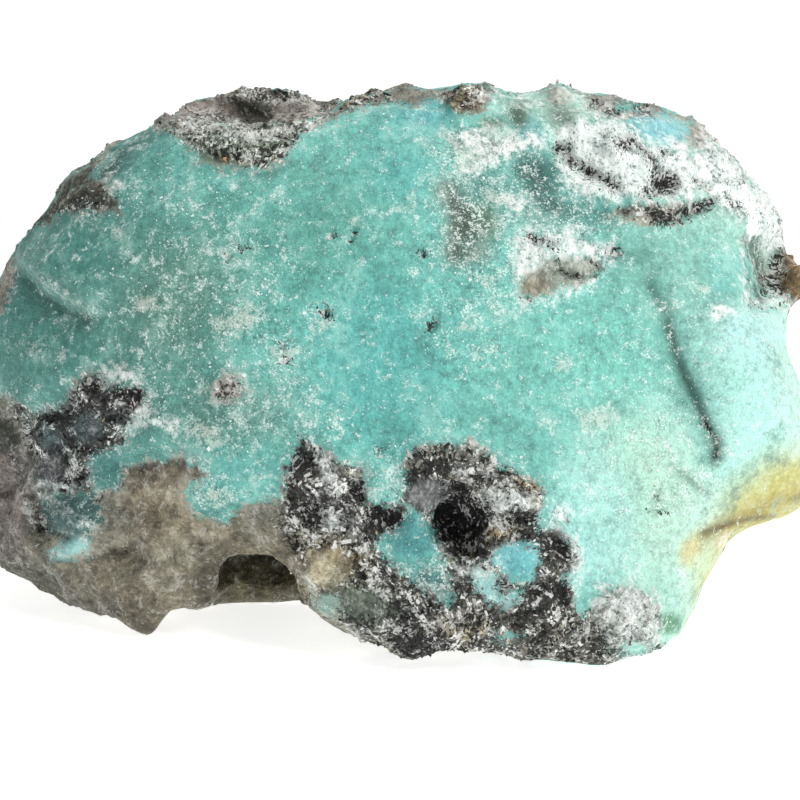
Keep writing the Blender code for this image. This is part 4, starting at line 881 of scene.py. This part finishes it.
def stone_finish():
    """Turquoise, crust, matrix and frosting on one skin, told apart by what was painted on it."""
    make = Finish("turquoise_and_matrix")
    ragged = make.noise(RAGGED_SIZE, 4.0, 0.62)
    mottle = make.noise(MOTTLE_SIZE, 3.0, 0.72)
    grit = make.noise(GRIT_SIZE, 2.0, 0.7)
    flaky = make.step(make.painted("flaky") + ragged * 2.0, -0.6, 0.6)
    rock_depth = make.painted("rock")
    wander = ragged * 2.6 + mottle * 3.4 + grit * 2.8
    rock = make.step(rock_depth + wander, -0.15, 0.2)
    frost = make.step(make.painted("frost") + ragged * 4.0 + mottle * 3.0 + grit * 0.8, -0.6, 1.1)
    dirt_and_shade = make.step(make.painted("dirt_and_shade") + ragged * 2.4 + mottle * 4.0 + grit * 4.0, -0.2, 0.9)
    veil = make.step(make.painted("veil") + ragged * 3.0 + mottle * 4.0 + grit * 2.0, -0.2, 0.9)

    # flakes: cells stretched along a line of their own in each patch
    patch_kind = make.cells(FLAKE_PATCH_SIZE)
    patch_random, patch_second, _ = make.channels(patch_kind)
    axis = make.vector("SUBTRACT", patch_kind, (0.5, 0.5, 0.5))
    turned = make.add("ShaderNodeVectorRotate", {"rotation_type": "AXIS_ANGLE"},
                      {"Vector": make.place, "Axis": axis, "Angle": patch_random * 6.3})
    stretched = make.vector("MULTIPLY", turned, FLAKE_PROPORTIONS)
    streaks = make.noise(FLAKE_SIZE, 3.0, 0.75, stretched)
    flake_kind = make.cells(FLAKE_SIZE, stretched)
    flake_random, flake_second, _ = make.channels(flake_kind)

    # turquoise: cloudy, with curdled veils, white sugar and dark pores
    thick = make.painted("sugar")
    gritty = grit * (thick * 0.7 + 0.4)
    clouds = make.noise(CLOUD_SIZE, 4.0, 0.66)
    curd = make.noise(CURD_SIZE, 4.0, 0.78, distortion=0.5)
    bend = make.add("ShaderNodeTexNoise", None, {"Vector": make.place, "Scale": 2.2}, "Color")
    bent = make.vector("ADD", make.place, bend)
    blot_kind = make.cells(BLOT_SIZE, bent)
    blot, blot_second, _ = make.channels(blot_kind)
    tone = 1.0 + clouds * 1.1 + mottle * 1.3 + gritty * 1.3 + (blot - 0.5) * 0.22
    tint = make.painted("turquoise_tint", "Color")
    turquoise = make.scaled(tint, tone)
    chalk = make.mix(0.45, srgb(240, 250, 246), make.scaled(tint, 1.5))
    turquoise = make.over(turquoise, clouds + mottle * 0.4, 0.0, 0.26, 0.5, srgb(172, 210, 198))
    turquoise = make.over(turquoise, clouds + mottle * 0.4, -0.04, -0.26, 0.35, srgb(64, 142, 134))
    near_rock = make.step(rock_depth, -1.8, -0.2)
    curd_level = curd + clouds * 0.25 + thick * 0.075 + near_rock * 0.03
    turquoise = make.over(turquoise, curd_level, 0.04, 0.16, 0.45, srgb(178, 210, 200))
    turquoise = make.over(turquoise, curd_level + (blot_second - 0.5) * 0.12, 0.12, 0.2, 0.55, chalk)
    turquoise = make.over(turquoise, grit + curd_level * 0.8, 0.15, 0.24, 0.75, srgb(238, 250, 246))
    fleck_level = blot_second + curd_level * 1.5
    turquoise = make.over(turquoise, fleck_level, 1.04, 1.1, 0.8, chalk)
    turquoise = make.mix(make.step(blot, 0.05, 0.02) * 0.4 * thick, turquoise, srgb(30, 76, 68))
    turquoise = make.over(turquoise, gritty - curd * 0.4, -0.06, -0.18, 0.4, srgb(40, 100, 92))
    turquoise = make.over(turquoise, gritty + curd * 0.3, -0.20, -0.28, 0.85, srgb(22, 50, 44))
    veiling = make.over(srgb(224, 230, 220), grit + mottle * 0.5, 0.0, -0.14, 0.9, srgb(122, 152, 140))
    turquoise = make.mix(veil * 0.55, turquoise, veiling)
    # painted shade and dirt: the turquoise darkened in speckles along the grooves, under the ledges and round
    # the rock
    dirtied_and_shaded = make.mix(make.step(grit + mottle * 0.5, 0.02, 0.14), make.scaled(turquoise, 0.36),
                     make.scaled(turquoise, 0.9))
    dirtied_and_shaded = make.over(dirtied_and_shaded, fleck_level, 0.94, 0.98, 0.8, srgb(226, 242, 236))
    turquoise = make.mix(dirt_and_shade * 0.9, turquoise, dirtied_and_shaded)

    # rock: its tint broken up by dark and light flakes
    crumbs = make.noise(CRUMBS_SIZE, 3.0, 0.7)
    contrast = flaky * 0.78 + 0.2
    level = streaks * 0.8 + grit * 0.4 + (flake_random - 0.5) * 0.5 + crumbs * 0.5
    speckle = make.step(flaky, -0.3, 0.8) * grit
    stone_rock = make.scaled(make.painted("rock_tint", "Color"),
                             1.0 + ragged * 2.4 + crumbs * 1.9 + speckle * 1.2)
    pale_ground = make.painted("rock_tint", "Fac") * 0.3
    level = level + pale_ground + make.painted("lightness") * 0.3 - 0.05
    stone_rock = make.mix(make.step(level, 0.08, 0.18) * contrast * 0.8, stone_rock, srgb(190, 192, 188))
    stone_rock = make.mix(make.step(level, -0.02, -0.10) * contrast * 0.9, stone_rock, srgb(28, 28, 26))
    stone_rock = make.mix(make.step(level, 0.22, 0.28) * contrast, stone_rock, srgb(250, 251, 248))
    stone_rock = make.mix(make.step(level, -0.14, -0.24) * contrast, stone_rock, srgb(7, 7, 7))
    gold = make.step(flake_second, 0.95, 0.97) * make.step(patch_second, 0.7, 0.8) * flaky
    stone_rock = make.mix(gold * 0.6, stone_rock, srgb(170, 156, 118))
    rim = make.step(rock_depth + wander, 1.0, 0.1) * make.step(ragged + grit * 0.8, -0.04, 0.08)
    stone_rock = make.mix(rim * 0.35, stone_rock, srgb(190, 206, 200))

    # frosting, and the black of the dark crystals and of the painted shade in the deep pockets
    frosting = make.over(srgb(240, 246, 243), ragged, 0.04, -0.18, 0.7, srgb(176, 192, 190))
    frosting = make.over(frosting, mottle, 0.0, -0.16, 0.5, srgb(150, 168, 164))
    frosting = make.over(frosting, streaks + mottle * 0.6 + ragged * 0.5, -0.05, -0.15, 0.85,
                         srgb(84, 88, 88))
    frosting = make.over(frosting, flake_random, 0.86, 0.9, 0.7, srgb(252, 254, 253))
    dark = make.step(make.painted("dark") + mottle * 3.0 + streaks * 3.4, -0.05, 0.2)
    black = make.mix(make.step(level, 0.06, 0.16), srgb(15, 15, 14), srgb(206, 207, 204))
    colour = make.mix(rock, turquoise, stone_rock)
    colour = make.mix(frost * 0.92, colour, frosting)
    colour = make.mix(dark, colour, black)

    # roughness and fine bumps, in millimetres
    roughness = make.step(rock_depth, -0.2, 0.2) * (flake_second * -0.35 + 0.12) + 0.55
    rocky = make.step(rock_depth, -0.3, 0.3)
    height = grit * (rocky * 0.16 + 0.09) + curd * 0.2
    bump = make.add("ShaderNodeBump", None, {"Strength": 1.0, "Distance": MM, "Height": height})
    return make.finish({"Base Color": colour, "Roughness": roughness, "Normal": bump,
                        "Specular IOR Level": 0.5})


body = skin_of(STONE_NODE, "turquoise_body")
carve(body)
thin_out(body)
body_map = paint(body)
body.data.materials.clear()
body.data.materials.append(stone_finish())
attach(body, "root")
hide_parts(STONE_NODE)


# Flakes and grains of the rock, each a small broken block set into the skin: mica and quartz
# in the dark matrix, duller crumbs in the crust, and white sugar on the turquoise.
FLAKE_COUNT = 12000
CRUMB_COUNT = 9000
SUGAR_COUNT = 7000
BLOCK_KINDS = 12
# The chips that lie this near to one another, in millimetres, run much the same way
SHARED_RUN = 1.8


def broken_block(dice):
    """An angular chip, one unit across: a block with a part of it broken off."""
    chip = bmesh.new()
    bmesh.ops.create_cube(chip, size=1.0)
    side = Vector(dice.normal(size=3)).normalized()
    whole = chip.verts[:] + chip.edges[:] + chip.faces[:]
    bmesh.ops.bisect_plane(chip, geom=whole, plane_co=side * dice.uniform(0.28, 0.45), plane_no=side,
                           clear_outer=True)
    bmesh.ops.delete(chip, geom=chip.faces[:], context="FACES_ONLY")
    bmesh.ops.convex_hull(chip, input=chip.verts[:])
    bmesh.ops.triangulate(chip, faces=chip.faces[:])
    bmesh.ops.recalc_face_normals(chip, faces=chip.faces[:])
    chip.verts.index_update()
    points = np.array([point.co[:] for point in chip.verts])
    faces = np.array([[point.index for point in face.verts] for face in chip.faces])
    chip.free()
    return points, faces


def unit(vectors):
    return vectors / np.linalg.norm(vectors, axis=1, keepdims=True)


class Strewn:
    """Places picked on the skin, by area and by how much each of its points wants one."""

    def __init__(self, skin, wanted, count, dice):
        mesh = skin.data
        mesh.calc_loop_triangles()
        corners = np.empty(3 * len(mesh.loop_triangles), dtype=np.int32)
        mesh.loop_triangles.foreach_get("vertices", corners)
        corners = corners.reshape(-1, 3)
        points, normals = points_of(mesh)
        first, second, third = (points[corners[:, side]] for side in range(3))
        share = np.linalg.norm(np.cross(second - first, third - first), axis=1)
        share *= wanted[corners].mean(axis=1)
        chosen = dice.choice(len(corners), size=count, p=share / share.sum())
        self.corners = corners[chosen]
        self.weights = dice.dirichlet((1.0, 1.0, 1.0), size=count)
        self.count = count
        self.points = self.at(points)
        self.normals = unit(self.at(normals))

    def at(self, values):
        """What is known at the skin's points, worked out for the places."""
        values = values.reshape(len(values), -1)
        return (values[self.corners] * self.weights[:, :, None]).sum(axis=1)


def strew(name, places, sizes, tones, dice, wide=(0.25, 0.6), flat=(0.2, 0.45)):
    """One mesh of many chips, each turned, sized and toned in its own way, set into the skin."""
    drift = np.array([noise.cell_vector(Vector(point) / SHARED_RUN) for point in places.points]) - 0.5
    along = drift + dice.normal(scale=0.22, size=drift.shape)
    upright = unit(places.normals + dice.normal(scale=0.35, size=drift.shape))
    along = unit(along - (along * upright).sum(axis=1)[:, None] * upright)
    aside = np.cross(upright, along)
    lengths = np.column_stack([sizes, sizes * dice.uniform(*wide, places.count),
                               sizes * dice.uniform(*flat, places.count)])
    turns = np.stack([along, aside, upright], axis=1) * lengths[:, :, None]
    centres = places.points + places.normals * (sizes * dice.uniform(-0.1, 0.06, places.count))[:, None]
    shapes = [broken_block(dice) for _ in range(BLOCK_KINDS)]
    kinds = dice.integers(len(shapes), size=places.count)
    points, faces, colours = [], [], []
    start = 0
    for kind, (shape_points, shape_faces) in enumerate(shapes):
        of_kind = np.flatnonzero(kinds == kind)
        placed = np.einsum("vi,nij->nvj", shape_points, turns[of_kind]) + centres[of_kind][:, None, :]
        points.append(placed.reshape(-1, 3))
        shifts = start + len(shape_points) * np.arange(len(of_kind))
        faces.append((shape_faces[None, :, :] + shifts[:, None, None]).reshape(-1, 3))
        colours.append(np.repeat(tones[of_kind], len(shape_points), axis=0))
        start += len(shape_points) * len(of_kind)
    points = np.concatenate(points)
    points[:, 2] = np.maximum(points[:, 2], 0.0)
    mesh = bpy.data.meshes.new(name)
    mesh.from_pydata((points * MM).tolist(), [], np.concatenate(faces).tolist())
    mesh.update()
    colour_points(mesh, "tone", np.concatenate(colours))
    piece = bpy.data.objects.new(name, mesh)
    bpy.context.scene.collection.objects.link(piece)
    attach(piece, "root")
    return piece


def chip_sizes(dice, count, usual, spread, least, most):
    """Lengths in millimetres, most of them near the usual one."""
    return dice.lognormal(math.log(usual), spread, count).clip(least, most)


def chip_finish(name, roughness, specular):
    """Each chip has its own tone, clouded and scratched."""
    make = Finish(name)
    grit = make.noise(0.16, 3.0, 0.7)
    cloudy = make.noise(0.6, 3.0, 0.6)
    colour = make.scaled(make.painted("tone", "Color"), 1.0 + grit * 1.6 + cloudy * 1.0)
    bump = make.add("ShaderNodeBump", None, {"Strength": 1.0, "Distance": MM, "Height": grit * 0.05})
    return make.finish({"Base Color": colour, "Roughness": roughness + cloudy * 0.6, "Normal": bump,
                        "Specular IOR Level": specular})


def flake_tones(ground, dark, pale, lightness, dice):
    """Black flakes, grey ones like the ground, near-white ones, and a few of gold."""
    count = len(ground)
    tones = ground * dice.uniform(0.5, 1.6, count)[:, None]
    lot = dice.random(count)
    # more black flakes where the dark layer lies, so also in the deep pockets painted black as shade
    black = lot < 0.36 + 0.4 * dark - 0.2 * pale - lightness
    white = lot > 0.72 - 0.3 * pale + 0.3 * dark - lightness
    gold = dice.random(count) < 0.01
    tones[black] = srgb(24, 24, 22) * dice.uniform(0.3, 2.4, black.sum())[:, None]
    tones[white] = srgb(214, 216, 212) * dice.uniform(0.6, 1.15, white.sum())[:, None]
    tones[gold] = srgb(168, 152, 112) * dice.uniform(0.5, 1.3, gold.sum())[:, None]
    return tones


def tint_of(skin, name):
    colours = np.empty(4 * len(skin.data.vertices), dtype=np.float32)
    skin.data.attributes[name].data.foreach_get("color", colours)
    return colours.reshape(-1, 4)[:, :3].astype(float)


dice = np.random.default_rng(11)
off_table = smooth_step(0.7, 1.4, points_of(body.data)[0][:, 2])
rock_share = smooth_step(-0.1, 0.5, body_map.rock)
flaky_share = smooth_step(-0.8, 0.5, body_map.flaky)
dark_share = smooth_step(-0.2, 0.4, body_map.dark)
frost_share = smooth_step(-0.3, 0.6, body_map.frost)
rock_tint = tint_of(body, "rock_tint")

places = Strewn(body, rock_share * flaky_share * off_table * (0.25 + 0.75 * body_map.seen), FLAKE_COUNT, dice)
ground = places.at(rock_tint)
at_left_end = places.points[:, 0] < -24.0
lightness = 0.6 * ground.mean(axis=1) + 0.5 * cloud(places.points + 3.0, 1.8) - 0.3 * at_left_end
tones = flake_tones(ground, places.at(dark_share)[:, 0], places.at(frost_share)[:, 0], lightness, dice)
flakes = strew("matrix_flakes", places, chip_sizes(dice, FLAKE_COUNT, 0.23, 0.5, 0.1, 0.9), tones, dice)
flakes.data.materials.append(chip_finish("mica_and_quartz", 0.42, 0.6))

# the worn underside at the left, where few crumbs are left
UNDERSIDE = area((-50, -12), (-30, -15.6), (-20, -12), (-12, -12), (-7, -20), (-7, -40), (-50, -40))
worn = smooth_step(-1.0, 1.0, UNDERSIDE(body_map.across, body_map.up)) * body_map.seen
wanted = np.maximum(rock_share * (1.0 - flaky_share) * (1.0 - 0.85 * worn), 0.8 * frost_share) * off_table
places = Strewn(body, wanted, CRUMB_COUNT, dice)
frosted = places.at(frost_share)
tones = places.at(rock_tint) * (1.0 - frosted) + srgb(222, 230, 226) * frosted
tones *= dice.uniform(0.55, 1.5, CRUMB_COUNT)[:, None]
tones = np.minimum(tones, 0.92)
crumbs = strew("crust_crumbs", places, chip_sizes(dice, CRUMB_COUNT, 0.22, 0.45, 0.1, 0.8), tones, dice)
crumbs.data.materials.append(chip_finish("dull_crust", 0.7, 0.4))

sugar = body_map.amount(0.3, SUGAR)
beside_rock = smooth_step(-2.0, -0.4, body_map.rock)
patches = smooth_step(-0.15, 0.3, cloud(points_of(body.data)[0] + 5.0, 2.4))
wanted = (1.0 - rock_share) * np.maximum(0.0, 0.03 + sugar) * (0.1 + patches + 0.4 * beside_rock) * off_table
places = Strewn(body, wanted, SUGAR_COUNT, dice)
whiteness = dice.uniform(0.2, 1.0, SUGAR_COUNT)[:, None]
tones = places.at(tint_of(body, "turquoise_tint")) * (1.0 - whiteness) + srgb(236, 246, 242) * whiteness
sugar_grains = strew("white_sugar", places, chip_sizes(dice, SUGAR_COUNT, 0.12, 0.4, 0.06, 0.4), tones, dice,
                     wide=(0.5, 0.9), flat=(0.4, 0.8))
sugar_grains.data.materials.append(chip_finish("white_sugar", 0.4, 0.5))
